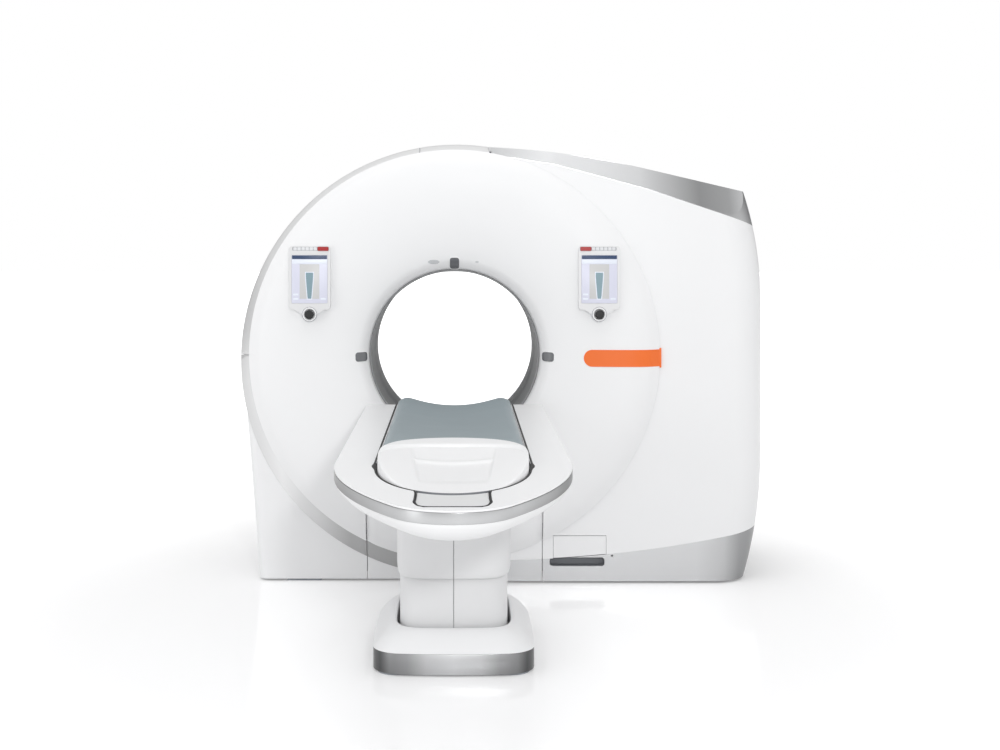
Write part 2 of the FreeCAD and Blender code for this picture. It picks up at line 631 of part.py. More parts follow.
# --------------------------------------------------- gantry: chassis
def make_chassis():
    """Welded base with floor pads, stator ring on its feet, bearing and motor."""
    beams = [block(-880, 1250, y0, y0 + 100, 30, 146) for y0 in (-280, 155)]
    ties = [block(x - 50, x + 50, -200, 155, 30, 146) for x in (-700, 700, 1130)]
    gussets = []
    for x in (-600, 600):
        side = [V(x - 12, 195, 146), V(x - 12, 250, 146), V(x - 12, 195, 480)]
        gussets.append(Part.Face(Part.Wire(polygon(side))).extrude(V(24, 0, 0)))
    pads = []
    for x in (-ANCHOR_X, ANCHOR_X):
        for y in (-ANCHOR_Y, ANCHOR_Y):
            plate = block(x - 80, x + 80, *sorted((y / 1.5, y + math.copysign(40, y))), 0, 16)
            plate = plate.cut(Part.makeCylinder(ANCHOR_HOLE_R, 20, V(x, y, -1)))
            under = y - math.copysign(54, y)
            pads.append(plate)
            pads.append(block(x - 30, x + 30, under - 18, under + 18, 16, 30))
    export(join(beams + ties + gussets + pads), "base_frame")
    stator = ring(500, STATOR_R, STATOR_Y, STATOR_Y + 40)
    windows = [sector(610, 690, a, a + 34, STATOR_Y - 1, STATOR_Y + 41)
               for a in range(8, 360, 45)]
    feet = [block(x - 110, x + 110, STATOR_Y, STATOR_Y + 40, 146, 560) for x in (-560, 560)]
    room = Part.makeCylinder(STATOR_R - 1, 200, V(0, STATOR_Y - 20, ISO_Z), V(0, 1, 0))
    stator = join([stator.cut(group(windows))] + [f.cut(room) for f in feet])
    export(stator, "stator_ring")
    export(ring(482, 530, 100, STATOR_Y), "bearing_outer_race")
    export(ring(440, 481, DRUM_Y + 25, STATOR_Y - 3), "bearing_inner_race")
    coils, magnets = [], []
    for step in range(MOTOR_POLES):
        angle = step * 360.0 / MOTOR_POLES
        coils.append(placed(block(-78, 78, 103, STATOR_Y, ISO_Z + 742, ISO_Z + 790), angle))
        magnets.append(placed(block(-84, 84, DRUM_Y + 25, STATOR_Y - 8, ISO_Z + 706,
                                    ISO_Z + 730), angle))
    export(group(coils), "motor_coils")
    export(group(magnets), "motor_magnets")
    export(ring(560, 600, DRUM_Y + 25, DRUM_Y + 41), "slip_ring")
    export(sector(562, 598, 258, 282, DRUM_Y + 42, STATOR_Y), "brush_block")


# ----------------------------------------------------- gantry: rotor
def make_drum():
    plate = ring(428, DRUM_R, DRUM_Y, DRUM_Y + 25)
    rim = ring(DRUM_R - 16, DRUM_R, -140, DRUM_Y)
    slots = [sector(500, 640, a, a + 14, DRUM_Y - 1, DRUM_Y + 26) for a in (118, 146, 228)]
    export(join([plate.cut(group(slots)), rim]), "rotor_drum")


def make_tube(angle):
    """X-ray tube housing along the axis, with its collimator towards the bore."""
    axis_r = FOCUS_R + 65
    start, end = V(0, -330, ISO_Z + axis_r), V(0, DRUM_Y, ISO_Z + axis_r)
    barrel = rod(104, start + V(0, 60, 0), end)
    cap = rod(82, start, start + V(0, 60, 0))
    neck = rod(46, start + V(0, -26, 0), start)
    top_z = ISO_Z + axis_r - 100
    points = [V(-70, -60, top_z), V(70, -60, top_z), V(112, -60, ISO_Z + 452),
              V(-112, -60, ISO_Z + 452)]
    box = Part.Face(Part.Wire(polygon(points))).extrude(V(0, DRUM_Y + 60, 0))
    barrel_room = rod(104, V(0, -300, ISO_Z + axis_r), V(0, 200, ISO_Z + axis_r))
    slot = block(-90, 90, -12, 12, ISO_Z + 440, ISO_Z + 560)
    return placed(join([barrel, cap, neck, box.cut(barrel_room).cut(slot)]), angle)


def make_detector(angle, half_fan):
    """Detector arc, bent about the focal spot of its tube."""
    focus_z = ISO_Z + FOCUS_R
    corners = [V(0, -95, focus_z - FAN_R), V(0, -95, focus_z - FAN_R - 92),
               V(0, DRUM_Y, focus_z - FAN_R - 92), V(0, DRUM_Y, focus_z - FAN_R)]
    face = Part.Face(Part.Wire(polygon(corners)))
    face.rotate(V(0, 0, focus_z), V(0, 1, 0), -half_fan)
    arc = face.revolve(V(0, 0, focus_z), V(0, 1, 0), 2 * half_fan)
    return placed(arc, angle)


def make_rotor():
    make_drum()
    export(group([make_tube(TUBE_A), make_tube(TUBE_B)]), "xray_tubes")
    export(group([make_detector(TUBE_A, 25), make_detector(TUBE_B, 17.5)]), "detectors")
    generators = [sector(470, 800, 52, 72, -250, DRUM_Y), sector(470, 800, 108, 128, -250, DRUM_Y)]
    export(group(generators), "generators")
    export(sector(480, 800, 134, 166, -200, DRUM_Y), "rotor_cooler")


# ------------------------------------------------------------ table
def deck_outline(inset, z):
    """Plan of the deck: straight sides, then a nose of three arcs."""
    half, head = DECK_HALF - inset, DECK_HEAD_Y - inset
    side_x, side_y, side_r = NOSE_SIDE
    side_r, tip_r = side_r - inset, NOSE_TIP_R - inset
    tip_y = DECK_NOSE_Y + NOSE_TIP_R
    start = math.asin(math.sqrt(side_r ** 2 - (half - side_x) ** 2) / side_r)
    stop = math.atan2(side_y - tip_y, -side_x)
    shoulder, flank, joint = [(side_x + side_r * math.cos(turn), side_y - side_r * math.sin(turn))
                              for turn in (start, (start + stop) / 2, stop)]
    nose_tip = V(0, tip_y - tip_r, z)
    edges = [Part.Arc(V(joint[0], joint[1], z), nose_tip, V(-joint[0], joint[1], z)).toShape()]
    for sign in (1, -1):
        ends = [V(sign * x, y, z) for x, y in (shoulder, flank, joint)]
        edges.append(Part.Arc(*ends).toShape())
        edges.append(line(ends[0], V(sign * half, head, z)))
    edges.append(line(V(half, head, z), V(-half, head, z)))
    return Part.Wire(Part.__sortEdges__(edges))


def channel_outline(inset, z):
    """Plan of the cradle's channel, without the notch of the end tab."""
    half, head_y = CHANNEL_HALF - inset, DECK_HEAD_Y + 1
    nose_y = CHANNEL_NOSE_Y + inset
    nose = Part.Ellipse(V(0, nose_y, z), V(half, CHANNEL_END_Y, z), V(0, CHANNEL_END_Y, z))
    left, right = V(-half, CHANNEL_END_Y, z), V(half, CHANNEL_END_Y, z)
    tip = V(0, nose_y, z)
    start, mid, end = (nose.parameter(p) for p in (left, tip, right))
    lower, upper = sorted((start, end))
    curve = Part.Edge(nose, lower, upper)
    if not lower < mid < upper:
        curve = Part.Edge(nose, upper, lower + 2 * math.pi)
    edges = [curve, line(right, V(half, head_y, z)), line(V(half, head_y, z), V(-half, head_y, z)),
             line(V(-half, head_y, z), left)]
    return Part.Wire(Part.__sortEdges__(edges))


def notch_outline(inset, z):
    """Plan of the end tab's notch, open towards the channel, with long round corners."""
    half, front = TAB_HALF - inset, TAB_Y + inset
    rear = CHANNEL_NOSE_Y + 140
    edges = [line(V(half, rear, z), V(-half, rear, z)), line(V(30 - half, front, z),
                                                             V(half - 30, front, z))]
    for sign in (1, -1):
        corner = V(sign * half, front + 112, z)
        bend = V(sign * (half - 9), front + 33, z)
        edges.append(line(V(sign * half, rear, z), corner))
        edges.append(Part.Arc(corner, bend, V(sign * (half - 30), front, z)).toShape())
    return Part.Wire(Part.__sortEdges__(edges))


def prism(outline, z0, z1, inset=0.0):
    """Extrudes a plan from one height to another."""
    return Part.Face(outline(inset, z0)).extrude(V(0, 0, z1 - z0))


def column_opening(z0, z1):
    flat = rounded_frame(UPPER_HALF[0], UPPER_HALF[1], COLUMN_Y, 50, z0)
    return Part.Face(flat).extrude(V(0, 0, z1 - z0))


def make_deck():
    """Deck cover with the cradle's channel, metal band and the shell below."""
    wall = DECK_WALL
    z_band = DECK_Z - DECK_BAND_H
    plate = prism(deck_outline, DECK_Z - wall, DECK_Z)
    trough = join([prism(channel_outline, CHANNEL_Z - wall, DECK_Z, -wall),
                   prism(notch_outline, NOTCH_Z - 4, DECK_Z, -4)])
    trough = trough.common(block(-400, 400, -3000, DECK_HEAD_Y, 600, 900))
    space = join([prism(channel_outline, CHANNEL_Z, DECK_Z + 5),
                  prism(notch_outline, NOTCH_Z, DECK_Z + 5)])
    export(join([plate, trough]).cut(space), "deck_cover")
    wide = CHANNEL_HALF + wall + FIT
    way_out = block(-wide, wide, DECK_HEAD_Y - 60, DECK_HEAD_Y + 5, CHANNEL_Z - wall - FIT, DECK_Z)
    band = prism(deck_outline, z_band, DECK_Z - wall)
    band = band.cut(prism(deck_outline, z_band, DECK_Z - wall, wall))
    export(band.cut(way_out), "deck_band")
    rings = [(1, z_band), (30, z_band - 36), (120, BOWL_Z)]
    bowl = Part.makeLoft([deck_outline(inset, z) for inset, z in rings], True, True)
    rings[-1] = (120, BOWL_Z + wall)
    hollow = Part.makeLoft([deck_outline(inset + wall, z) for inset, z in rings], True, True)
    bowl = bowl.cut(hollow).cut(column_opening(BOWL_Z - 5, BOWL_Z + 8)).cut(way_out)
    export(bowl, "deck_underside")
    tab = prism(notch_outline, DECK_Z - 22, DECK_Z - 3, 6)
    tab = tab.cut(prism(channel_outline, DECK_Z - 30, DECK_Z, -2))
    post = block(-70, 70, TAB_Y + 20, TAB_Y + 160, NOTCH_Z, DECK_Z - 22)
    export(join([tab, post]), "end_tab")


def make_table_frame():
    """Beams under the channel, on the head plate of the lifting column."""
    z0, z1 = BOWL_Z + 8, CHANNEL_Z - DECK_WALL
    beams = [block(x - 30, x + 30, -2350, -640, z0, z1) for x in (-165, 165)]
    ties = [block(-135, 135, y - 40, y + 40, z0, z1) for y in (-680, -1150, -1700, -2250)]
    head = block(-195, 195, COLUMN_Y - 240, COLUMN_Y + 240, BOWL_Z, BOWL_Z + 8)
    stage = tube((122, 122), COLUMN_Y, 10, 10, 300, BOWL_Z)
    export(join(beams + ties + [head, stage]), "lift_frame")
    rails = [block(x - 10, x + 10, -2200, -480, CHANNEL_Z, CHANNEL_Z + 14) for x in (-120, 120)]
    export(group(rails + make_belt_drive()), "guide_rails")


BELT_R = 26.0
BELT_X = 0.0
BELT_HEAD_Y = -520.0
BELT_FOOT_Y = -2230.0


def make_belt_drive():
    """Belt loop of the cradle drive and its rollers; returns the roller brackets."""
    z = CHANNEL_Z + 2 + BELT_R / 2
    radius = BELT_R / 2 - 1.6
    def roller(y, name):
        wheel = rod(radius - 0.3, V(-16, y, z), V(16, y, z))
        export(join([wheel, rod(4, V(-24, y, z), V(24, y, z))]), name)
    roller(BELT_HEAD_Y, "belt_idler")
    roller(BELT_FOOT_Y, "belt_pulley")
    def loop(r):
        a = Part.makeCylinder(r, 24, V(-12, BELT_HEAD_Y, z), V(1, 0, 0))
        b = Part.makeCylinder(r, 24, V(-12, BELT_FOOT_Y, z), V(1, 0, 0))
        flat = block(-12, 12, BELT_FOOT_Y, BELT_HEAD_Y, z - r, z + r)
        return join([a, b, flat])
    export(loop(radius + 1.6).cut(loop(radius)), "drive_belt")
    brackets = []
    for y in (BELT_HEAD_Y, BELT_FOOT_Y):
        for x in (-26, 20):
            ear = block(x, x + 6, y - 9, y + 9, CHANNEL_Z, z + 8)
            brackets.append(ear.cut(rod(4.1, V(-40, y, z), V(40, y, z))))
    return brackets


def make_column():
    """Split covers, three nested lifting stages, actuator and plinth."""
    gap = 1.0
    west = block(-400, -gap, -2000, -800, 0, 900)
    east = block(gap, 400, -2000, -800, 0, 900)
    upper = tube(UPPER_HALF, COLUMN_Y, 50, 6, UPPER_BOTTOM_Z, BOWL_Z + 8)
    lower = tube(LOWER_HALF, COLUMN_Y, 44, 5, 20, LOWER_TOP_Z)
    export(group([upper.common(west), upper.common(east)]), "upper_column_covers")
    export(group([lower.common(west), lower.common(east)]), "lower_column_covers")
    export(tube((150, 150), COLUMN_Y, 14, 12, 20, 400), "column_outer_stage")
    export(tube((136, 136), COLUMN_Y, 12, 12, 170, 555), "column_middle_stage")
    foot = V(0, COLUMN_Y, 20)
    barrel = Part.makeCylinder(42, 404, foot)
    export(barrel.cut(Part.makeCylinder(23, 390, foot + V(0, 0, 16))), "lift_actuator")
    export(Part.makeCylinder(22, BOWL_Z - 305, V(0, COLUMN_Y, 305)), "lift_rod")
    make_plinth()


def make_plinth():
    base = Part.Face(rounded_frame(280, 322, PLINTH_Y, 60, 0)).extrude(V(0, 0, 20))
    holes = [Part.makeCylinder(9, 30, V(x, PLINTH_Y + y, -5)) for x in (-240, 240)
             for y in (-250, 250)]
    export(base.cut(group(holes)), "table_base_plate")
    band = tube(PLINTH_HALF, PLINTH_Y, PLINTH_R, 6, 6, PLINTH_BAND_Z)
    export(band, "plinth_band")
    rise = PLINTH_TOP_Z - PLINTH_BAND_Z
    def hill(inset):
        plan = rounded_frame(PLINTH_HALF[0] - inset, PLINTH_HALF[1] - inset, PLINTH_Y,
                             PLINTH_R - inset, PLINTH_BAND_Z)
        slab = Part.Face(plan).extrude(V(0, 0, rise - inset))
        top = [e for e in slab.Edges if e.BoundBox.ZMin > PLINTH_BAND_Z + 1]
        return slab.makeChamfer(rise - inset - 0.5, 70, top)
    well = rounded_frame(UPPER_HALF[0] + 8, UPPER_HALF[1] + 8, COLUMN_Y, 57, 0)
    well = Part.Face(well).extrude(V(0, 0, 200))
    export(hill(0).cut(hill(6)).cut(well), "plinth_cover")


def arc_section(half, edge_z, sag, z_shift=0.0):
    """Upward-open arc across the cradle at y = 0: its two ends and its middle."""
    return V(-half, 0, edge_z + z_shift), V(0, 0, edge_z - sag + z_shift), V(half, 0, edge_z + z_shift)


def dished(half, edge_z, sag, thick, y0, y1):
    """A dished board: concentric arcs above and below, run along Y."""
    a, b, c = arc_section(half, edge_z, sag)
    d, e, f = arc_section(half, edge_z, sag, -thick)
    edges = [Part.Arc(a, b, c).toShape(), line(c, f), Part.Arc(f, e, d).toShape(), line(d, a)]
    face = Part.Face(Part.Wire(edges))
    face.translate(V(0, y0, 0))
    return face.extrude(V(0, y1 - y0, 0))


def below_board(y0, y1, lift=0.0):
    """Space from the top of the board downwards, or from a little above it."""
    radius = (CRADLE_HALF ** 2 + CRADLE_SAG ** 2) / (2 * CRADLE_SAG)
    wide = CRADLE_HALF + 20
    sag = radius - math.sqrt(radius ** 2 - wide ** 2)
    a, b, c = arc_section(wide, CRADLE_EDGE_Z - CRADLE_SAG + sag + lift, sag)
    return arc_prism(a, b, c, 600, y0, y1)


def arc_prism(a, b, c, low_z, y0, y1):
    """Space from an arc down to a height, run along Y."""
    low_c, low_a = V(c.x, 0, low_z), V(a.x, 0, low_z)
    edges = [Part.Arc(a, b, c).toShape(), line(c, low_c), line(low_c, low_a), line(low_a, a)]
    face = Part.Face(Part.Wire(edges))
    face.translate(V(0, y0, 0))
    return face.extrude(V(0, y1 - y0, 0))


def make_cradle():
    board = dished(CRADLE_HALF, CRADLE_EDGE_Z, CRADLE_SAG, CRADLE_T, CRADLE_FOOT_Y, CRADLE_HEAD_Y)
    export(board, "cradle")
    z = CRADLE_EDGE_Z
    head = CRADLE_HEAD_Y + 4
    a, b, c = arc_section(CRADLE_HALF, z + PAD_T - 5, CRADLE_SAG - 5)
    pad = arc_prism(a, b, c, z - 60, CAP_Y + 30, head)
    pad = pad.cut(below_board(CAP_Y, head + 10, FIT)).cut(prism(cap_outline, z - 90, z + 60, -1))
    export(pad, "mattress")
    plate = block(-160, 160, CRADLE_FOOT_Y, CRADLE_FOOT_Y + 170, CHANNEL_Z + 20, z)
    plate = plate.common(below_board(CRADLE_FOOT_Y - 5, CRADLE_FOOT_Y + 175, -CRADLE_T))
    shoes = []
    for x in (-120, 120):
        shoe = block(x - 24, x + 24, CRADLE_FOOT_Y, CRADLE_FOOT_Y + 170, CHANNEL_Z + 3,
                     CHANNEL_Z + 20)
        shoes.append(shoe.cut(block(x - 10.4, x + 10.4, -2300, -1900, CHANNEL_Z, CHANNEL_Z + 14.4)))
    belt_room = block(-29, 29, -2300, -1900, CHANNEL_Z, CHANNEL_Z + 31)
    export(join([plate] + shoes).cut(belt_room), "carriage")
    make_foot_cap()


def cap_outline(inset, z):
    """Oval plan of the end moulding: two half-ellipses on one width."""
    half = CAP_HALF - inset
    edges = []
    for sign, length in ((1, CAP_REAR - inset), (-1, CAP_FRONT - inset)):
        oval = Part.Ellipse(V(0, CAP_Y + length, z), V(half, CAP_Y, z), V(0, CAP_Y, z))
        ends = sorted(oval.parameter(V(side * half, CAP_Y, z)) for side in (-1, 1))
        curve = Part.Edge(oval, ends[0], ends[1])
        if curve.valueAt(sum(ends) / 2).y * sign < CAP_Y * sign:
            curve = Part.Edge(oval, ends[1], ends[0] + 2 * math.pi)
        edges.append(curve)
    return Part.Wire(Part.__sortEdges__(edges))


# Top of the end moulding across the cradle: y, height at its edges and dip in the middle.
CAP_TOP = [(-1815, 895, 24), (-2000, 893, 29), (CAP_Y, 887, 37), (-2450, 868, 30), (-2700, 832, 4)]


def make_foot_cap():
    """White end moulding: an oval plan, a dished top and a scooped grip."""
    wires = []
    for y, edge_z, dip in CAP_TOP:
        a, b, c = [point + V(0, y, 0) for point in arc_section(CAP_HALF + 10, edge_z, dip)]
        low_c, low_a = V(c.x, y, 700), V(a.x, y, 700)
        wires.append(Part.Wire([Part.Arc(a, b, c).toShape(), line(c, low_c), line(low_c, low_a),
                                line(low_a, a)]))
    bottom = CRADLE_EDGE_Z - CRADLE_SAG - CRADLE_T
    cap = prism(cap_outline, bottom, bottom + 150).common(Part.makeLoft(wires, True, True))
    cap = cap.cut(below_board(CRADLE_FOOT_Y - FIT, CAP_Y + CAP_REAR + 20, FIT))
    wide = Part.Wire(polygon([V(-146, CAP_Y, 900), V(146, CAP_Y, 900), V(112, -2525, 900),
                              V(-112, -2525, 900)]))
    deep = Part.Wire(polygon([V(-136, CAP_Y - 20, 838), V(136, CAP_Y - 20, 838),
                              V(104, -2500, 826), V(-104, -2500, 826)]))
    export(cap.cut(Part.makeLoft([wide, deep], True, True)), "foot_cap")


def main():
    os.makedirs("parts", exist_ok=True)
    make_side_covers()
    make_tunnel()
    left = make_control_panel("left", -1)
    right = make_control_panel("right", 1)
    export(group([left[0], right[0]]), "panel_housings")
    export(group([left[1], right[1]]), "screens")
    make_chassis()
    make_rotor()
    make_deck()
    make_table_frame()
    make_column()
    make_cradle()


main()
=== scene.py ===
import json
import math

import bmesh
import bpy
import numpy as np
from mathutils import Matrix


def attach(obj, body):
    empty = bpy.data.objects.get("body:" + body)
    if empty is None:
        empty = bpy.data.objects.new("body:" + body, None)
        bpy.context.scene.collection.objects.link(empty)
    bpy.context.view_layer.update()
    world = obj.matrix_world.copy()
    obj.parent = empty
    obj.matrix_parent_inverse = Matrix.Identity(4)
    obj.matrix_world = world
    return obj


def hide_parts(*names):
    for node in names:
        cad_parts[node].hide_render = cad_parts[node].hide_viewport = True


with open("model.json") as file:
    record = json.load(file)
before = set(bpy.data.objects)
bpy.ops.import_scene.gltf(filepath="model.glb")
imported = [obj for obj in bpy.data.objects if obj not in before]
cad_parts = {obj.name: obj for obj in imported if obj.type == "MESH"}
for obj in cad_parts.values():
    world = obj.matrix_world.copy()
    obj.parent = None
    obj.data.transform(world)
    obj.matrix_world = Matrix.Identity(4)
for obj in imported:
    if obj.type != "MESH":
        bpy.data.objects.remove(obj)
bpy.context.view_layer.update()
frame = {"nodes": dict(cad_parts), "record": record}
nodes = frame["nodes"]

# The computed tomography scanner of the photograph. Metres, +Z up, the bore along +Y.
CAMERA_AT, LENS, SENSOR, SHIFT = (0.014, -6.825, 1.593), 50, 36, (0.0425, -0.136)
FLOOR_LIFT, FLOOR_LIFT_FAR = 0.20, 0.9   # the floor's own light, near the object and far off
FLOOR_NEAR, FLOOR_FAR = 1.3, 5.0         # distances between which it grows
FLOOR_MIRROR = 0.10
WORLD_LEVEL = 0.81
LAMPS = [  # name, place, what it points at, width, power
    ("key", (0.85, -7.7, 2.55), (0.1, -0.4, 0.9), 0.40, 88),
    ("fill", (-4.6, -4.6, 1.5), (-0.5, -0.4, 0.7), 3.0, 28),
    ("top", (0.1, -2.0, 5.6), (0.1, -1.6, 0.8), 3.0, 42),
]

ISO = 1.056               # height of the rotation axis
FRONT = -0.450            # foremost circle of the round cover
BODY_Y = -0.400           # front plane of the body's right half
BORE = 0.390
DISC = 0.949              # edge of the round cover
PANEL_X, PANEL_Z = 0.406, 0.628   # joints of the removable panel
SEAM = 0.002
BAND_X, BAND_Z, BAND_R = 0.009, 1.028, 1.006   # rear circle of the metal band
BAND_Y, BAND_DEPTH = FRONT + 0.050, 0.050      # its front circle and how far it runs back
COVER_WALL, BOWL_WALL = 0.006, 0.005  # thickness of the covers, and of bowl and plinth roof
FLOOR_GAP = 0.010
STATION = 0.663           # control panels, left and right of the bore
PANEL_FACE = -0.472       # their front plane
STICK_Z = 1.248
SPEAKER = (-0.096, 1.4868)
DECK_HALF, DECK_HEAD, BOWL_Z = 0.400, -0.470, 0.728
CHANNEL_HALF = 0.2655     # the cradle's way out of the deck
WAY_OUT_Z = 0.7637
NOSE_HALF, NOSE_Y = 0.2570, -2.215   # the channel's nose
DECK_PAINTED_SHADE_Z = 0.8295      # faces of the deck below this are painted black: painted shade in the gap and channel
COLUMN_Y, PLINTH_Y = -1.425, -1.430
UPPER_HALF, LOWER_HALF = (0.2160, 0.275), (0.2050, 0.246)    # the column covers in plan
SPLIT = 0.001             # half the gap between the two halves of a column cover
PLINTH_HALF, PLINTH_SIDE_Z = (0.303, 0.345), 0.0826
CAP_Y, CAP_HALF, CAP_REAR, CAP_FRONT = -2.220, 0.250, 0.400, 0.470
BOARD_EDGE, BOARD_SAG, BOARD_FOOT = 0.863, 0.036, -2.150


# ------------------------------------------------------------------ camera
def make_camera():
    """The photograph's view: level, from the table's foot, with the frame shifted down."""
    data = bpy.data.cameras.new("camera")
    camera = bpy.data.objects.new("camera", data)
    bpy.context.scene.collection.objects.link(camera)
    camera.location = CAMERA_AT
    camera.rotation_euler = (math.radians(90), 0, 0)
    data.lens, data.sensor_width = LENS, SENSOR
    data.shift_x, data.shift_y = SHIFT
    data.clip_end = 200
    bpy.context.scene.camera = camera


# --------------------------------------------------------------- materials
def plug(tree, made, values):
    """Sets a node's sockets, each to a value, or to the node or the output that feeds it."""
    for key, value in dict(values).items():
        if isinstance(value, bpy.types.Node):
            value = value.outputs[0]
        if isinstance(value, bpy.types.NodeSocket):
            tree.links.new(value, made.inputs[key])
        else:
            made.inputs[key].default_value = value
    return made


def node(tree, kind, values=(), **settings):
    """A shader node with its settings and its sockets."""
    made = tree.nodes.new(kind)
    for key, value in settings.items():
        setattr(made, key, value)
    return plug(tree, made, values)


def finish(name, light, dark=None, rough=(0.3, 0.36), grain=600.0, bump=0.02,
           stretch=(1, 1, 1), **sockets):
    """A surface with a little colour drift, uneven gloss and a fine grain, all from noise.

    light and dark are the drift's ends, rough the gloss's range, grain the fine noise's
    scale and bump its depth in millimetres.
    """
    made = bpy.data.materials.new(name)
    made.use_nodes = True
    tree = made.node_tree
    dark = dark or tuple(0.955 * c for c in light)
    place = node(tree, "ShaderNodeTexCoord").outputs["Object"]
    turn = node(tree, "ShaderNodeMapping", {"Vector": place, "Scale": stretch})
    drift, fine = [node(tree, "ShaderNodeTexNoise", {"Vector": turn, "Scale": scale,
                                                     "Detail": detail})
                   for scale, detail in ((3.0, 3.0), (grain, 2.0))]
    mix = node(tree, "ShaderNodeMix", {0: drift, 6: (*light, 1), 7: (*dark, 1)},
               data_type="RGBA")
    gloss = node(tree, "ShaderNodeMapRange", {"Value": drift, "From Min": 0.3, "From Max": 0.7,
                                              "To Min": rough[0], "To Max": rough[1]})
    relief = node(tree, "ShaderNodeBump", {"Height": fine, "Strength": 1.0,
                                           "Distance": bump / 1000})
    plug(tree, tree.nodes["Principled BSDF"], {
        "Base Color": mix.outputs[2], "Roughness": gloss, "Normal": relief,
        **{key.replace("_", " "): value for key, value in sockets.items()}})
    return made


# Painted reflection and shade along a band or skirt, multiplied into its colour: (distance
# from the middle or x, factor on its colour).
TRIM_PAINTED_REFLECTION = [(0.2, 1.0), (0.49, 1.0), (0.86, 0.77), (1.14, 0.32), (1.28, 0.39), (1.4, 0.72)]
RIM_PAINTED_REFLECTION = [(0, 0.66), (0.10, 0.70), (0.20, 0.66), (0.28, 0.46), (0.345, 0.20), (0.380, 0.12),
             (0.394, 0.25), (0.3995, 0.50)]
FOOT_PAINTED_REFLECTION = [(0, 1.0), (0.10, 0.86), (0.17, 0.53), (0.235, 0.40), (0.27, 0.17), (0.292, 0.22),
              (0.3025, 0.50)]
UPPER_PAINTED_REFLECTION = [(-1.0, 0.66), (-0.95, 0.74), (-0.85, 0.90), (-0.6, 1.0), (0.2, 1.0)]
LOWER_PAINTED_REFLECTION = [(-1.0, 0.66), (-0.93, 0.80), (-0.80, 1.0), (-0.62, 0.76), (-0.48, 0.52),
               (0.2, 0.40)]
SKIRT_PAINTED_REFLECTION = [(0.2, 1.0), (1.12, 0.96), (1.25, 0.80), (1.32, 0.55), (1.4, 0.48)]


def painted_reflection_across_x(made, stops, span, mirrored=True):
    """Paints reflection and shade into a finish: multiplies its colour by a grey that changes
    across the object's X.

    stops are (x in metres, factor), and span the two ends of x that they lie between.
    """
    tree = made.node_tree
    shader = tree.nodes["Principled BSDF"]
    source = shader.inputs["Base Color"].links[0].from_socket
    place = node(tree, "ShaderNodeTexCoord").outputs["Object"]
    x = node(tree, "ShaderNodeSeparateXYZ", {0: place}).outputs["X"]
    if mirrored:
        x = node(tree, "ShaderNodeMath", {0: x}, operation="ABSOLUTE")
    share = node(tree, "ShaderNodeMapRange", {"Value": x, "From Min": span[0],
                                              "From Max": span[1]})
    ramp = node(tree, "ShaderNodeValToRGB", {"Fac": share})
    points = ramp.color_ramp.elements
    while len(points) < len(stops):
        points.new(0.5)
    for point, (at, factor) in zip(points, stops):
        point.position = (at - span[0]) / (span[1] - span[0])
        point.color = (factor, factor, factor, 1)
    both = node(tree, "ShaderNodeMix", {0: 1.0, 6: source, 7: ramp}, data_type="RGBA",
                blend_type="MULTIPLY")
    plug(tree, shader, {"Base Color": both.outputs[2]})
    return made


def lacquer(name, level=1.0):
    """Silver lacquer, lighter or darker by a factor; the lighter trim lacquer is a painted
    brighter reflection.
    """
    light, dark = [tuple(level * c for c in tone) for tone in
                   ((0.60, 0.605, 0.612), (0.575, 0.58, 0.588))]
    return finish(name, light, dark, grain=1500.0, bump=0.03, Metallic=0.92)


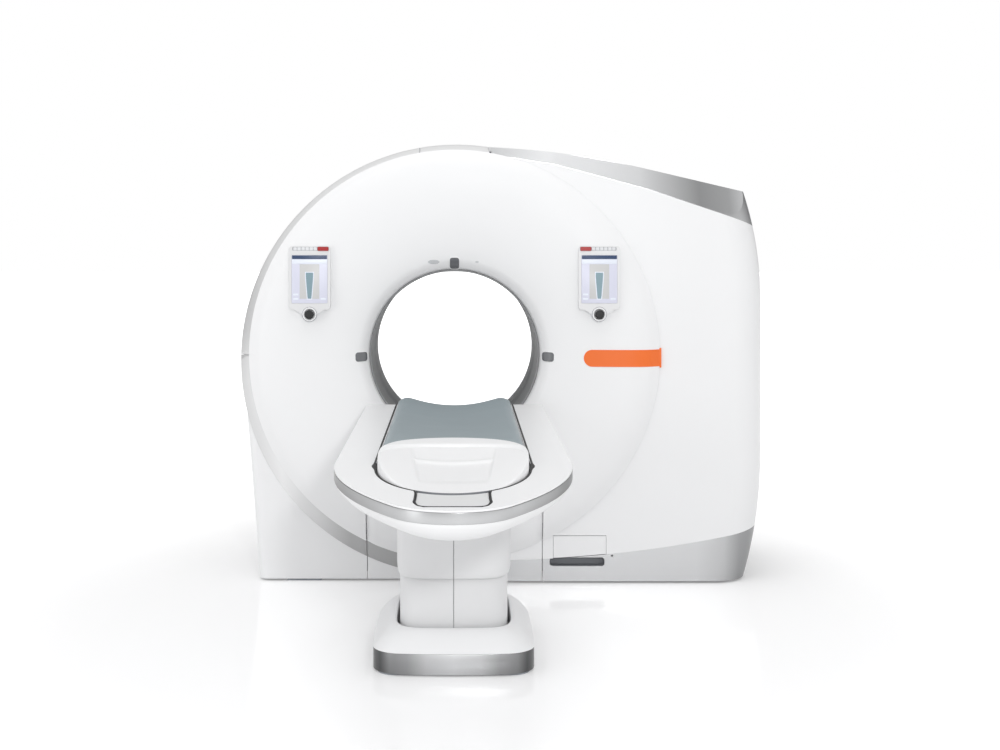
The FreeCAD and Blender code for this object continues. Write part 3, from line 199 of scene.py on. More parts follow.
def make_materials():
    """All finishes by their keys."""
    moulding = {"rough": (0.38, 0.45), "Specular_IOR_Level": 0.32}
    liner = {"rough": (0.55, 0.65), "Specular_IOR_Level": 0.15}
    made = {
        "white": finish("white_moulding", (0.86, 0.863, 0.87), (0.84, 0.843, 0.85),
                        **moulding),
        # The column covers get a darker copy of the white moulding: painted shade for the
        # column under the deck.
        "column": finish("column_moulding_painted_shade", (0.755, 0.758, 0.765), **moulding),
        "tunnel": finish("tunnel_liner", (0.285, 0.289, 0.294), **liner),
        "window": finish("window_film", (0.24, 0.244, 0.25), **liner),
        "silver": lacquer("silver_lacquer"),
        # The trim, band, skirt, rim and foot finishes carry painted reflection and shade
        # across X; the trim's lacquer is also lighter as a painted bright reflection.
        "trim": painted_reflection_across_x(lacquer("silver_trim", 1.58), TRIM_PAINTED_REFLECTION, (0.2, 1.4), False),
        "upper": painted_reflection_across_x(finish("upper_band_painted_reflection", (0.87, 0.872, 0.875), Metallic=0.25), UPPER_PAINTED_REFLECTION,
                        (-1.0, 0.2), False),
        "lower": painted_reflection_across_x(finish("lower_band_painted_reflection", (0.86, 0.862, 0.866), Metallic=0.25), LOWER_PAINTED_REFLECTION,
                        (-1.0, 0.2), False),
        "skirt": painted_reflection_across_x(lacquer("silver_skirt"), SKIRT_PAINTED_REFLECTION, (0.2, 1.4), False),
        "rim": painted_reflection_across_x(lacquer("silver_rim"), RIM_PAINTED_REFLECTION, (0, DECK_HALF)),
        "foot": painted_reflection_across_x(lacquer("silver_foot"), FOOT_PAINTED_REFLECTION, (0, PLINTH_HALF[0])),
        "steel": finish("machined_steel", (0.52, 0.52, 0.52), rough=(0.25, 0.4), Metallic=1.0,
                        stretch=(1, 12, 1)),
        "cast": finish("cast_aluminium", (0.60, 0.61, 0.62), rough=(0.45, 0.6), Metallic=0.9,
                       grain=300.0, bump=0.2),
        "frame": finish("chassis_paint", (0.30, 0.32, 0.35), rough=(0.45, 0.6), grain=400.0,
                        bump=0.1),
        "dark": finish("dark_housing", (0.035, 0.036, 0.04), rough=(0.4, 0.5)),
        "copper": finish("slip_copper", (0.62, 0.36, 0.20), rough=(0.25, 0.4), Metallic=1.0),
        "laser": finish("laser_window", (0.15, 0.155, 0.165), rough=(0.15, 0.2)),
        "red": finish("stop_red", (0.38, 0.012, 0.014), rough=(0.3, 0.4)),
        "black": finish("black_rubber", (0.004, 0.004, 0.0045), rough=(0.5, 0.6)),
        "panel": finish("panel_moulding", (0.74, 0.742, 0.75)),
        "board": finish("cradle_board", (0.62, 0.63, 0.65), rough=(0.3, 0.4),
                        stretch=(1, 8, 1)),
        "vinyl": finish("grey_vinyl", (0.290, 0.343, 0.366), (0.275, 0.326, 0.348),
                        rough=(0.42, 0.52), grain=900.0, bump=0.06),
        "tab": finish("tab_plastic", (0.76, 0.765, 0.77), rough=(0.35, 0.45)),
        "orange": finish("orange_field", (0.86, 0.155, 0.012), rough=(0.35, 0.42)),
        "key": finish("key_plastic", (0.74, 0.75, 0.77), rough=(0.35, 0.45)),
        "line": finish("grey_line", (0.24, 0.25, 0.27), rough=(0.4, 0.5)),
        "grille": finish("speaker_grille", (0.62, 0.63, 0.645), rough=(0.45, 0.55)),
    }
    for key, colour in (("title", (0.022, 0.050, 0.125)), ("pale", (0.80, 0.84, 0.93)),
                        ("field", (0.69, 0.70, 0.82)), ("grey", (0.60, 0.60, 0.60)),
                        ("figure", (0.22, 0.33, 0.38))):
        made[key] = finish("display_" + key, colour, rough=(0.34, 0.40))
    return made


# ------------------------------------------------------------------ meshes
def finished(piece, body, slot, material, *replaced):
    """Gives a piece its finish and its body, and hides the CAD nodes it stands for; slot is
    not used.
    """
    names = [material] if isinstance(material, str) else material
    piece.data.materials.clear()
    for name in names:
        piece.data.materials.append(M[name])
    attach(piece, body)
    if replaced:
        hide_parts(*replaced)
    return piece


def linked(name, mesh):
    """A new object for a mesh."""
    piece = bpy.data.objects.new(name, mesh)
    bpy.context.scene.collection.objects.link(piece)
    return piece


def shaded(mesh, angle=35.0):
    """Smooth shading, with edges sharper than the angle left sharp."""
    mesh.polygons.foreach_set("use_smooth", np.ones(len(mesh.polygons), bool))
    mesh.set_sharp_from_angle(angle=math.radians(angle))
    mesh.update()


def outward(mesh, weld=1e-6):
    """Merges doubles and turns every face outwards."""
    work = bmesh.new()
    work.from_mesh(mesh)
    bmesh.ops.remove_doubles(work, verts=work.verts[:], dist=weld)
    bmesh.ops.dissolve_degenerate(work, edges=work.edges[:], dist=weld)
    bmesh.ops.recalc_face_normals(work, faces=work.faces[:])
    work.to_mesh(mesh)
    work.free()
    return mesh


def grid_mesh(name, grids, round_u=False, round_v=False, caps=False):
    """Quads between neighbours of one or more grids of points, closed round if asked.

    caps adds a face over the first and the last row.
    """
    grids = [grids] if isinstance(grids, np.ndarray) else grids
    points, faces, first = [], [], 0
    for grid in grids:
        rows, columns = grid.shape[:2]
        index = first + np.arange(rows * columns).reshape(rows, columns)
        if caps:
            faces += [index[0, ::-1].tolist(), index[-1].tolist()]
        if round_u:
            index = np.vstack([index, index[:1]])
        if round_v:
            index = np.hstack([index, index[:, :1]])
        quads = np.stack([index[:-1, :-1], index[1:, :-1], index[1:, 1:], index[:-1, 1:]], -1)
        faces += quads.reshape(-1, 4).tolist()
        points += grid.reshape(-1, 3).tolist()
        first += rows * columns
    mesh = bpy.data.meshes.new(name)
    mesh.from_pydata(points, [], faces)
    mesh.validate()
    return mesh


def solid(name, grids, angle=35.0, **closing):
    """A closed piece from grids of points, its faces turned outwards."""
    piece = linked(name, outward(grid_mesh(name, grids, **closing)))
    shaded(piece.data, angle)
    return piece


RING = {"round_u": True, "round_v": True}
TUBE = {"round_v": True, "caps": True}


def built(name, grids, body, slot, material, *replaced, **closing):
    """A closed piece from grids of points, with its finish."""
    return finished(solid(name, grids, **closing), body, slot, material, *replaced)


def framed(front, rear):
    """Grids of a closed plate: a front, a rear with the same rows, and the rim between."""
    rims = [np.concatenate([g[0], g[1:, -1], g[-1, -2::-1], g[-2::-1, 0]])
            for g in (front, rear)]
    return [front, rear, np.stack(rims, 1)]


def trimmed(mesh, keep, lines=()):
    """Cuts a mesh along planes and keeps the parts asked for, welded together again.

    keep is a list of parts, each a list of (point, normal): the side that the normal
    points to is removed. lines are planes that only add an edge.
    """
    whole = bmesh.new()
    for part in keep:
        piece = bmesh.new()
        piece.from_mesh(mesh)
        for cut, clear in [(c, False) for c in lines] + [(c, True) for c in part]:
            faces = piece.verts[:] + piece.edges[:] + piece.faces[:]
            bmesh.ops.bisect_plane(piece, geom=faces, dist=1e-6, plane_co=cut[0],
                                   plane_no=cut[1], clear_outer=clear)
        scrap = bpy.data.meshes.new("part")
        piece.to_mesh(scrap)
        whole.from_mesh(scrap)
        bpy.data.meshes.remove(scrap)
        piece.free()
    bmesh.ops.remove_doubles(whole, verts=whole.verts[:], dist=1e-5)
    whole.to_mesh(mesh)
    whole.free()
    return mesh


def coordinates(mesh):
    """All points of a mesh as an array."""
    points = np.empty(len(mesh.vertices) * 3)
    mesh.vertices.foreach_get("co", points)
    return points.reshape(-1, 3)


def moved(mesh, change):
    """Applies a function of the whole array of points to a mesh."""
    mesh.vertices.foreach_set("co", change(coordinates(mesh)).ravel())
    mesh.update()
    return mesh


def sheet(name, mesh, body, slot, material, replaced, thickness=COVER_WALL):
    """A piece from an open surface, with a wall behind it."""
    shaded(mesh)
    piece = linked(name, mesh)
    wall = piece.modifiers.new("wall", "SOLIDIFY")
    wall.thickness, wall.offset, wall.use_even_offset = thickness, -1, False
    finished(piece, body, slot, material, replaced)


def skin(name, edge=0.0, keep=None):
    """A merged copy of a CAD node's mesh, smooth across its facets, with its edges broken.

    edge is the width of the bevel, and keep a test of a face.
    """
    angle, flat = 32.0, 0.3    # degrees: an edge shows over one, faces join under the other
    mesh = nodes[name].data.copy()
    work = bmesh.new()
    work.from_mesh(mesh)
    bmesh.ops.remove_doubles(work, verts=work.verts[:], dist=1e-5)
    if keep:
        scrap = [f for f in work.faces if not keep(f)]
        bmesh.ops.delete(work, geom=scrap, context="FACES")
    if edge:
        bmesh.ops.dissolve_limit(work, angle_limit=math.radians(flat), verts=work.verts[:],
                                 edges=work.edges[:])
    work.to_mesh(mesh)
    work.free()
    if "custom_normal" in mesh.attributes:
        mesh.attributes.remove(mesh.attributes["custom_normal"])
    piece = linked(name + "_skin", mesh)
    shaded(mesh, angle)
    if edge:
        bevel = piece.modifiers.new("edge", "BEVEL")
        bevel.width = edge
        bevel.segments = 2
        bevel.limit_method = "ANGLE"
        bevel.angle_limit = math.radians(angle)
        bevel.use_clamp_overlap = True
        bevel.harden_normals = True
    else:
        even = piece.modifiers.new("even", "WEIGHTED_NORMAL")
        even.keep_sharp = True
    return piece


def at(*axes):
    """Points from their coordinates, each of them an array or a number."""
    return np.stack(np.broadcast_arrays(*axes), -1)


def smooth(points, steps=8):
    """A curve through all the points, made of cubics whose ends follow the neighbours."""
    path = np.array(points, float)
    path = np.vstack([2 * path[0] - path[1], path, 2 * path[-1] - path[-2]])
    t = np.linspace(0, 1, steps, endpoint=False)[:, None]
    runs = []
    for a, b, c, d in zip(path, path[1:], path[2:], path[3:]):
        size = np.linalg.norm(c - b)
        enter = (c - a) / np.linalg.norm(c - a) * size
        leave = (d - b) / np.linalg.norm(d - b) * size
        runs.append((2 * t ** 3 - 3 * t ** 2 + 1) * b + (t ** 3 - 2 * t ** 2 + t) * enter
                    + (3 * t ** 2 - 2 * t ** 3) * c + (t ** 3 - t ** 2) * leave)
    return np.vstack(runs + [path[-2:-1]])


def eased(points, radius, closed=False):
    """A path whose corners are rounded: each is replaced by a quadratic curve between the
    points at the radius before and after it."""
    path = np.array(points, float)
    if closed:
        before, after = np.roll(path, 1, 0), np.roll(path, -1, 0)
    else:
        before, after = path[:-2], path[2:]
    middle = path if closed else path[1:-1]
    def towards(other):
        way = other - middle
        size = np.linalg.norm(way, axis=1, keepdims=True)
        return middle + way / size * np.minimum(radius, size * 0.45)
    a, b = towards(before)[:, None], towards(after)[:, None]
    t = np.linspace(0, 1, 5)[None, :, None]
    curves = (1 - t) ** 2 * a + 2 * t * (1 - t) * middle[:, None] + t ** 2 * b
    curves = curves.reshape(-1, path.shape[1])
    return curves if closed else np.vstack([path[:1], curves, path[-1:]])


def lathe(profile, steps=256, centre=(0.0, ISO)):
    """Profile of (radius, y) carried round an axis along +Y through centre (x, z)."""
    angles = np.radians(np.linspace(0, 360, steps, endpoint=False))[:, None]
    radius, y = np.array(profile)[None, :, 0], np.array(profile)[None, :, 1]
    return at(centre[0] + radius * np.cos(angles), y, centre[1] + radius * np.sin(angles))


def rolled(distance, size, depth):
    """Depth of a rounded edge at a distance from it: a quarter circle, flattened to depth."""
    near = np.clip(1 - distance / size, 0, 1)
    return depth * (1 - np.sqrt(1 - near ** 2))


def step(value, low, high):
    """Soft step from 0 to 1 between two values."""
    t = np.clip((value - low) / (high - low), 0, 1)
    return t * t * (3 - 2 * t)


# ------------------------------------------------------- round front cover
# Rings of the cover's face: radius and depth behind the foremost plane.
DISC_RINGS = [(0.396, 0.108), (0.406, 0.082), (0.446, 0.050), (0.570, 0.0205), (0.700, 0.0045),
              (0.820, 0.0), (0.892, 0.0115), (0.949, 0.040)]
FACE = smooth([(r, FRONT + depth) for r, depth in DISC_RINGS], 12)


def face_y(x, z):
    """The round cover's front at a place in the front view."""
    return np.interp(np.hypot(x, z - ISO), FACE[:, 0], FACE[:, 1])


def make_disc():
    """Ring and removable panel: one revolved surface, parted along the panel's joints."""
    joint, sunk = 0.003, 0.002          # width and depth of the rounding at a joint
    soft_edge, soft_depth = 0.045, 0.011    # the same for the panel's sides
    profile = np.vstack([FACE, [(DISC, BODY_Y)]])
    base = grid_mesh("disc", lathe(profile, 384)[:, ::-1], round_u=True)
    gap = SEAM / 2
    x, z = PANEL_X + gap, PANEL_Z + gap
    rims = [0.0012, joint]
    lines = [((s * (x + r), 0, 0), (1, 0, 0)) for s in (-1, 1) for r in rims]
    lines += [((0, 0, z + r), (0, 0, 1)) for r in rims]
    below = ((0, 0, z), (0, 0, 1))
    sides = [[below, ((s * x, 0, 0), (-s, 0, 0))] for s in (1, -1)]
    ring = trimmed(base.copy(), [[((0, 0, z), (0, 0, -1))]] + sides, lines)

    def roll(p):
        distance = np.hypot(np.maximum(np.abs(p[:, 0]) - x, 0), np.maximum(p[:, 2] - z, 0))
        p[:, 1] += rolled(distance, joint, sunk)
        return p
    sheet("ring_cover_skin", moved(ring, roll), "gantry", "white_cover", "white", "ring_cover")

    x, z = PANEL_X - gap, PANEL_Z - gap
    lines = [((s * (x - r), 0, 0), (1, 0, 0)) for s in (-1, 1)
             for r in (0.001, 0.003, 0.006, 0.010, 0.015, 0.021, 0.028, 0.036, soft_edge)]
    lines += [((0, 0, z - r), (0, 0, 1)) for r in rims]
    keep = [((x, 0, 0), (1, 0, 0)), ((-x, 0, 0), (-1, 0, 0)), ((0, 0, z), (0, 0, 1))]
    panel = trimmed(base, [keep], lines)

    def soft(p):
        beside = x - np.abs(p[:, 0])
        p[:, 1] += soft_depth * (1 - step(beside, 0, soft_edge))
        p[:, 1] += rolled(z - p[:, 2], joint, sunk)
        return p
    sheet("lower_front_panel_skin", moved(panel, soft), "gantry", "white_cover", "white",
          "lower_front_panel")


def island(name, test, slot, material, edge=0.001):
    """The rest of one of the gantry's CAD nodes: its faces whose centres pass a test."""
    piece = skin(name, edge, lambda face: test(*face.calc_center_median()))
    piece.name = name + "_rest"
    finished(piece, "gantry", slot, material)


def make_bands():
    """Metal band: straight lines from the disc's edge circle to a larger one behind it, and
    a thin gasket in each of its two upper joints."""
    angles = np.radians(np.linspace(0, 360, 384, endpoint=False))[:, None]
    u = np.array([0, 0.02, 0.06, 0.3, 0.6, 0.94, 0.98, 1.0])[None, :]
    drop = np.array([0.002, 0.0006, 0, 0, 0, 0, 0.0008, 0.003])[None, :]
    near, far = DISC - drop, BAND_R - drop
    x = (1 - u) * near * np.cos(angles) + u * (BAND_X + far * np.cos(angles))
    z = (1 - u) * (ISO + near * np.sin(angles)) + u * (BAND_Z + far * np.sin(angles))
    base = grid_mesh("band", at(x, BAND_Y + BAND_DEPTH * u, z)[:, ::-1], round_u=True)
    gap, joint = SEAM / 2, 0.162
    floor = ((0, 0, FLOOR_GAP), (0, 0, -1))
    parts = {
        "band_upper_left": [((-joint - gap, 0, 0), (1, 0, 0)),
                            ((0, 0, ISO + gap), (0, 0, -1))],
        "band_lower_left": [((-PANEL_X - gap, 0, 0), (1, 0, 0)),
                            ((0, 0, ISO - gap), (0, 0, 1)), floor],
        "band_top": [((joint - gap, 0, 0), (1, 0, 0)), ((gap - joint, 0, 0), (-1, 0, 0)),
                     ((0, 0, ISO), (0, 0, -1))],
        "panel_band": [((-PANEL_X + gap, 0, 0), (-1, 0, 0)), ((0.200, 0, 0), (1, 0, 0)),
                       ((0, 0, PANEL_Z), (0, 0, 1)), floor],
    }
    for name, planes in parts.items():
        sheet(name + "_skin", trimmed(base.copy(), [planes]), "gantry", "silver_band",
              "upper" if name in ("band_top", "band_upper_left") else "lower", name)
    for name, x in (("joint_left", -joint), ("joint_right", joint)):
        u = np.linspace(0.02, 0.98, 12)[:, None]
        across = x + np.array([-0.004, 0.004])[None, :]
        rings = []
        for inset in (0.0012, 0.004):
            radius = (1 - u) * DISC + u * BAND_R - inset
            tall = np.sqrt(radius ** 2 - (across - u * BAND_X) ** 2)
            rings.append(at(across, BAND_Y + BAND_DEPTH * u,
                            (1 - u) * ISO + u * BAND_Z + tall))
        loop = np.concatenate([rings[0], rings[1][:, ::-1]], 1)
        built(name, loop, "gantry", "silver_band", "line", **TUBE)


def make_orange():
    """Orange strip on the cover's right: a round left end, and a flange over the edge."""
    low, high, left = 1.0055, 1.0835, 0.595
    half, middle = (high - low) / 2, (high + low) / 2
    z = middle + half * np.sin(np.linspace(-math.pi / 2, math.pi / 2, 25))[:, None]
    start = left + half * (1 - np.sqrt(np.clip(1 - ((z - middle) / half) ** 2, 0, 1)))
    end = np.sqrt((DISC - 0.0005) ** 2 - (z - ISO) ** 2)
    t = np.linspace(0, 1, 40)[None, :]
    x = start + (end - start) * t
    y = face_y(x, z)
    built("name_strip", framed(at(x, y - 0.0014, z), at(x, y + 0.002, z)), "gantry",
          "white_cover", "orange")
    plate("strip_flange", (0.951, 1.0445), (0.0045, 0.0455), 0.003, -0.4125, -0.392, "orange")


# ------------------------------------------------------------ small plates
def frame_chain(half_x, half_y, radius, steps=6):
    """Closed outline of a rectangle with round corners, counter-clockwise."""
    radius = min(max(radius, 0.0005), half_x, half_y)
    turns = np.radians(np.linspace(0, 90, steps))
    corners = []
    for quarter, (sx, sy) in enumerate([(1, 1), (-1, 1), (-1, -1), (1, -1)]):
        a = turns + quarter * math.pi / 2
        corners.append(at(sx * (half_x - radius) + radius * np.cos(a),
                          sy * (half_y - radius) + radius * np.sin(a)))
    return np.vstack(corners)


def plate(name, centre, half, radius, y_front, y_rear, material, slot="white_cover",
          edge=0.0006, replaced=()):
    """A plate on the gantry that faces -Y, with round corners and a broken front edge."""
    edge = min(edge, (y_rear - y_front) / 2, radius * 0.9)
    levels = [(edge, y_front), (edge * 0.3, y_front + edge * 0.3), (0, y_front + edge),
              (0, y_rear)]
    rings = []
    for inset, y in levels:
        chain = frame_chain(half[0] - inset, half[1] - inset, radius - inset)
        rings.append(at(centre[0] + chain[:, 0], y, centre[1] + chain[:, 1]))
    built(name, np.stack(rings), "gantry", slot, material, *replaced, **TUBE)


def make_station(side, sign):
    """One control panel's display, keys, joystick and the ring and groove round that."""
    x, top = sign * STATION, PANEL_FACE
    screen = (x, 1.409)
    plate(side + "_display", screen, (0.082, 0.110), 0.0045, top - 0.0002, top + 0.0058,
          "field", "screen_glass", replaced=["screens"] if side == "left" else ())
    face = top - 0.0006
    fields = [("title", (0, 0.1005), (0.080, 0.0085), "title"),
              ("head", (0, 0.0805), (0.080, 0.0105), "pale"),
              ("sheet", (0.0, -0.0105), (0.045, 0.079), "grey"),
              ("tick_a", (-0.063, -0.070), (0.012, 0.004), "pale"),
              ("tick_b", (-0.063, -0.090), (0.012, 0.004), "pale"),
              ("tick_c", (0.063, -0.090), (0.012, 0.004), "pale")]
    for name, (dx, dz), half, material in fields:
        plate(side + "_" + name, (x + dx, screen[1] + dz), half, 0.0015, face, top, material,
              "screen_glass", edge=0.0002)
    for name, grow, material, lift in (("border", 0.004, "pale", 0.0004),
                                       ("figure", 0.0, "figure", 0.0008)):
        tall = np.array([(0.0165 + grow, 0.030 + grow), (0.0165 + grow, 0.012),
                         (0.0095 + grow, -0.076), (0.0080 + grow, -0.089 - grow)])
        tall = smooth(tall, 6)
        rings = []
        for y in (face - lift, top):
            right, left = [at(x + side_x * tall[:, 0], y, screen[1] + tall[:, 1])
                           for side_x in (1, -1)]
            rings.append(np.vstack([right, left[::-1]]))
        built(side + "_" + name, np.stack(rings), "gantry", "screen_glass", material, **TUBE)
    keys = (x + sign * 0.020, 1.548)
    plate(side + "_key_field", keys, (0.0575, 0.0078), 0.002, top - 0.0002, top + 0.0008,
          "line")
    for key in range(6):
        place = (keys[0] + (key - 2.5) * 0.0185, keys[1])
        plate("%s_key_%d" % (side, key + 1), place, (0.0082, 0.0068), 0.002, top - 0.0012,
              top + 0.0006, "key")
    groove = [(0.0340, top + 0.001), (0.0340, top - 0.0008), (0.0320, top - 0.0008),
              (0.0320, top + 0.001)]
    ring = [(0.0322, top + 0.002), (0.0322, top - 0.001), (0.0308, top - 0.0035),
            (0.0275, top - 0.0042), (0.0245, top - 0.003), (0.0235, top + 0.002)]
    for name, profile, material in (("_stick_groove", groove, "line"),
                                    ("_stick_ring", smooth(ring, 4), "white")):
        built(side + name, lathe(profile, 64, (x, STICK_Z)), "gantry", "white_cover", material,
              **RING)
    knob = [(0.0, top - 0.0195), (0.008, top - 0.0190), (0.0150, top - 0.0185),
            (0.0188, top - 0.0170), (0.0200, top - 0.0140), (0.0178, top - 0.0108),
            (0.0160, top - 0.0100), (0.0, top - 0.0100)]
    stem = [(0.0, top - 0.0110), (0.0085, top - 0.0110), (0.0075, top - 0.002),
            (0.0070, top + 0.014), (0.0, top + 0.014)]
    grids = [lathe(smooth(knob, 4), 48, (x, STICK_Z)), lathe(stem, 32, (x, STICK_Z))]
    built(side + "_joystick_skin", grids, side + "_joystick", "black_plastic", "black",
          side + "_joystick", round_u=True)


def on_lip(angle, across, along, lift):
    """Points on the cover's lip: across the radius, along it, and lifted off the surface."""
    inner, middle, outer = 0.403, 0.424, 0.446
    radius = middle + along
    y, y_inner, y_outer = [np.interp(r, FACE[:, 0], FACE[:, 1])
                           for r in (radius, inner, outer)]
    lean = math.atan2(y_inner - y_outer, outer - inner)
    radius, y = radius - lift * math.sin(lean), y - lift * math.cos(lean)
    turn = math.radians(angle)
    return at(radius * math.cos(turn) - across * math.sin(turn), y,
              ISO + radius * math.sin(turn) + across * math.cos(turn))


def make_lasers():
    """Three positioning lasers round the bore: grey panes in white frames on the lip."""
    panes, frames = [], []
    for angle, out in ((90, 0.001), (181.2, 0.008), (-1.2, 0.010)):
        def ring(grow, lift):
            chain = frame_chain(0.0215 + grow, 0.0265 + grow, 0.012 + grow, 8)
            t = np.linspace(0, 1, 9)[:-1, None]    # each straight side gets seven points more
            chain = np.vstack([(a * (1 - t) + b * t) if i % 8 == 7 else a[None]
                               for i, (a, b) in enumerate(zip(chain, np.roll(chain, -1, 0)))])
            return on_lip(angle, chain[:, 0], out + chain[:, 1], lift)
        pane = [(-0.018, 0.0017), (-0.008, 0.0017), (-0.001, 0.0016), (-0.0002, 0.0010),
                (-0.0002, -0.006)]
        frame_loop = [(0.0003, -0.006), (0.0003, 0.0020), (0.0012, 0.0028), (0.0024, 0.0028),
                      (0.0036, 0.0018), (0.0040, -0.006), (0.0003, -0.006)]
        panes.append(np.stack([ring(*place) for place in pane]))
        frames.append(np.stack([ring(*place) for place in frame_loop]))
    built("laser_panes", panes, "gantry", "screen_glass", "laser", "positioning_lasers",
          **TUBE)
    built("laser_frames", frames, "gantry", "white_cover", "white", round_v=True)


def make_marks():
    """Speaker oval with its holes, and the small mark beside it, over the bore."""
    def spot(name, cx, a, b, lift, material, cz=SPEAKER[1]):
        turn = np.linspace(0, 2 * math.pi, 40, endpoint=False)
        rings = []
        for scale, up in ((0.02, lift), (0.6, lift), (0.93, lift), (1.0, lift * 0.4),
                          (1.0, -0.003)):
            x, z = cx + scale * a * np.cos(turn), cz + scale * b * np.sin(turn)
            rings.append(at(x, face_y(x, z) - up, z))
        built(name, np.stack(rings), "gantry", "white_cover", material, **TUBE)
    spot("speaker_grille", SPEAKER[0], 0.027, 0.0105, 0.0006, "grille")
    for row in range(-1, 2):
        for column in range(-4, 5):
            if row and abs(column) > 3:
                continue
            spot("speaker_hole_%d_%d" % (row + 1, column + 4), SPEAKER[0] + column * 0.0052,
                 0.0013, 0.0013, 0.0008, "line", SPEAKER[1] + row * 0.0055)
    spot("indicator", 0.104, 0.0085, 0.0045, 0.0007, "grille")


# ------------------------------------------------------------------ tunnel
def make_tunnel():
    """Liners of the bore, scan window and rear funnel: sections carried round the axis."""
    front = eased([(BORE + 0.006, -0.346), (BORE + 0.001, -0.349), (BORE - 0.003, -0.345),
                   (BORE - 0.003, -0.334), (BORE, -0.330), (BORE, -0.070),
                   (BORE + 0.006, -0.070)], 0.002, closed=True)
    rear = [(BORE, 0.070), (BORE, 0.2345), (BORE + 0.006, 0.2345), (BORE + 0.006, 0.070)]
    window = [(BORE + 0.001, -0.0698), (BORE + 0.001, 0.0698), (BORE + 0.004, 0.0698),
              (BORE + 0.004, -0.0698)]
    inner = smooth([(0.390, 0.235), (0.397, 0.330), (0.420, 0.410), (0.470, 0.474),
                    (0.535, 0.508)], 10)
    flange = eased([(0.5355, 0.5080), (0.575, 0.508), (0.575, 0.500), (0.538, 0.500)], 0.003)
    outer = smooth([(0.538, 0.4995), (0.475, 0.468), (0.428, 0.407), (0.405, 0.330),
                    (0.398, 0.235)], 10)
    for name, profile, *look in (
            ("tunnel_front", front, "grey_plastic", "tunnel", "tunnel_liners"),
            ("tunnel_rear", rear, "grey_plastic", "tunnel"),
            ("scan_window", window, "window_film", "window", "scan_window"),
            ("rear_funnel", np.vstack([inner, flange, outer]), "white_cover", "white",
             "rear_funnel")):
        built(name + "_skin", lathe(profile), "gantry", *look, **RING)


# ------------------------------------------------------------------- table
def deck_chain(inset):
    """Right half of the deck's plan, from the cradle's way out over the head to the nose."""
    half, head = DECK_HALF - inset, DECK_HEAD - inset
    side_x, side_y, side_r, tip_y, tip_r = -1.064, -2.072, 1.467 - inset, -2.757, 0.201 - inset
    start = math.asin(math.sqrt(side_r ** 2 - (half - side_x) ** 2) / side_r)
    stop = math.atan2(side_y - tip_y, -side_x)
    turn = np.linspace(start, stop, 56)
    flank = at(side_x + side_r * np.cos(turn), side_y - side_r * np.sin(turn))
    turn = np.linspace(stop, math.pi / 2, 28)[1:]
    nose = at(tip_r * np.cos(turn), tip_y - tip_r * np.sin(turn))
    straight = at(half, np.linspace(head, flank[0, 1], 14)[:-1])
    return np.vstack([[(CHANNEL_HALF, head)], straight, flank, nose])


def swept(chain, profile):
    """Grid of a plan's offsets at heights: profile is a list of (inset, z)."""
    return np.stack([at(*chain(inset).T, z) for inset, z in profile], 1)


def mirrored(grid):
    """The same points on the object's other side."""
    return grid * np.array([-1, 1, 1])


def make_deck():
    """The deck with its end tab, the band round it and the bowl below it."""
    band = [(0.0010, 0.8298), (0.0002, 0.8290), (0, 0.828), (0, 0.798), (0.0003, 0.7968),
            (0.0012, 0.796), (0.006, 0.796), (0.006, 0.8298)]
    right = swept(deck_chain, band)
    loop = np.concatenate([right, mirrored(right)[-2::-1]])
    built("deck_band_skin", loop, "table_top", "silver_band", "rim", "deck_band", **TUBE)

    section = smooth([(0.0015, 0.7958), (0.010, 0.781), (0.030, 0.7615), (0.066, 0.7420),
                      (0.104, 0.7305), (0.128, BOWL_Z)], 6)
    right = swept(deck_chain, section)
    across = np.linspace(0, 1, 9)[1:-1][None, :, None]
    bottom = right[:, -1:] * (1 - across) + mirrored(right)[:, -1:] * across
    whole = np.concatenate([right, bottom, mirrored(right)[:, ::-1]], 1)
    low = np.vstack([[(0.0265, WAY_OUT_Z)], section[section[:, 1] <= WAY_OUT_Z]])
    x = np.linspace(CHANNEL_HALF, -CHANNEL_HALF, 12)[:, None]
    head = at(x, DECK_HEAD - low[:, 0], low[:, 1])
    sheet("deck_underside_skin", outward(grid_mesh("bowl", [whole, head]), 1e-5), "table_top",
          "white_cover", "white", "deck_underside", BOWL_WALL)

    make_seal()
    piece = finished(skin("deck_cover", 0.0015), "table_top", "white_cover",
                     ["white", "black"], "deck_cover")
    # Faces of the deck below that height get the black finish: painted shade in the gap round
    # the cradle and in its channel.
    for face in piece.data.polygons:
        face.material_index = int(face.center.z < DECK_PAINTED_SHADE_Z)
    finished(skin("end_tab", 0.002), "table_top", "grey_plastic", "tab", "end_tab")


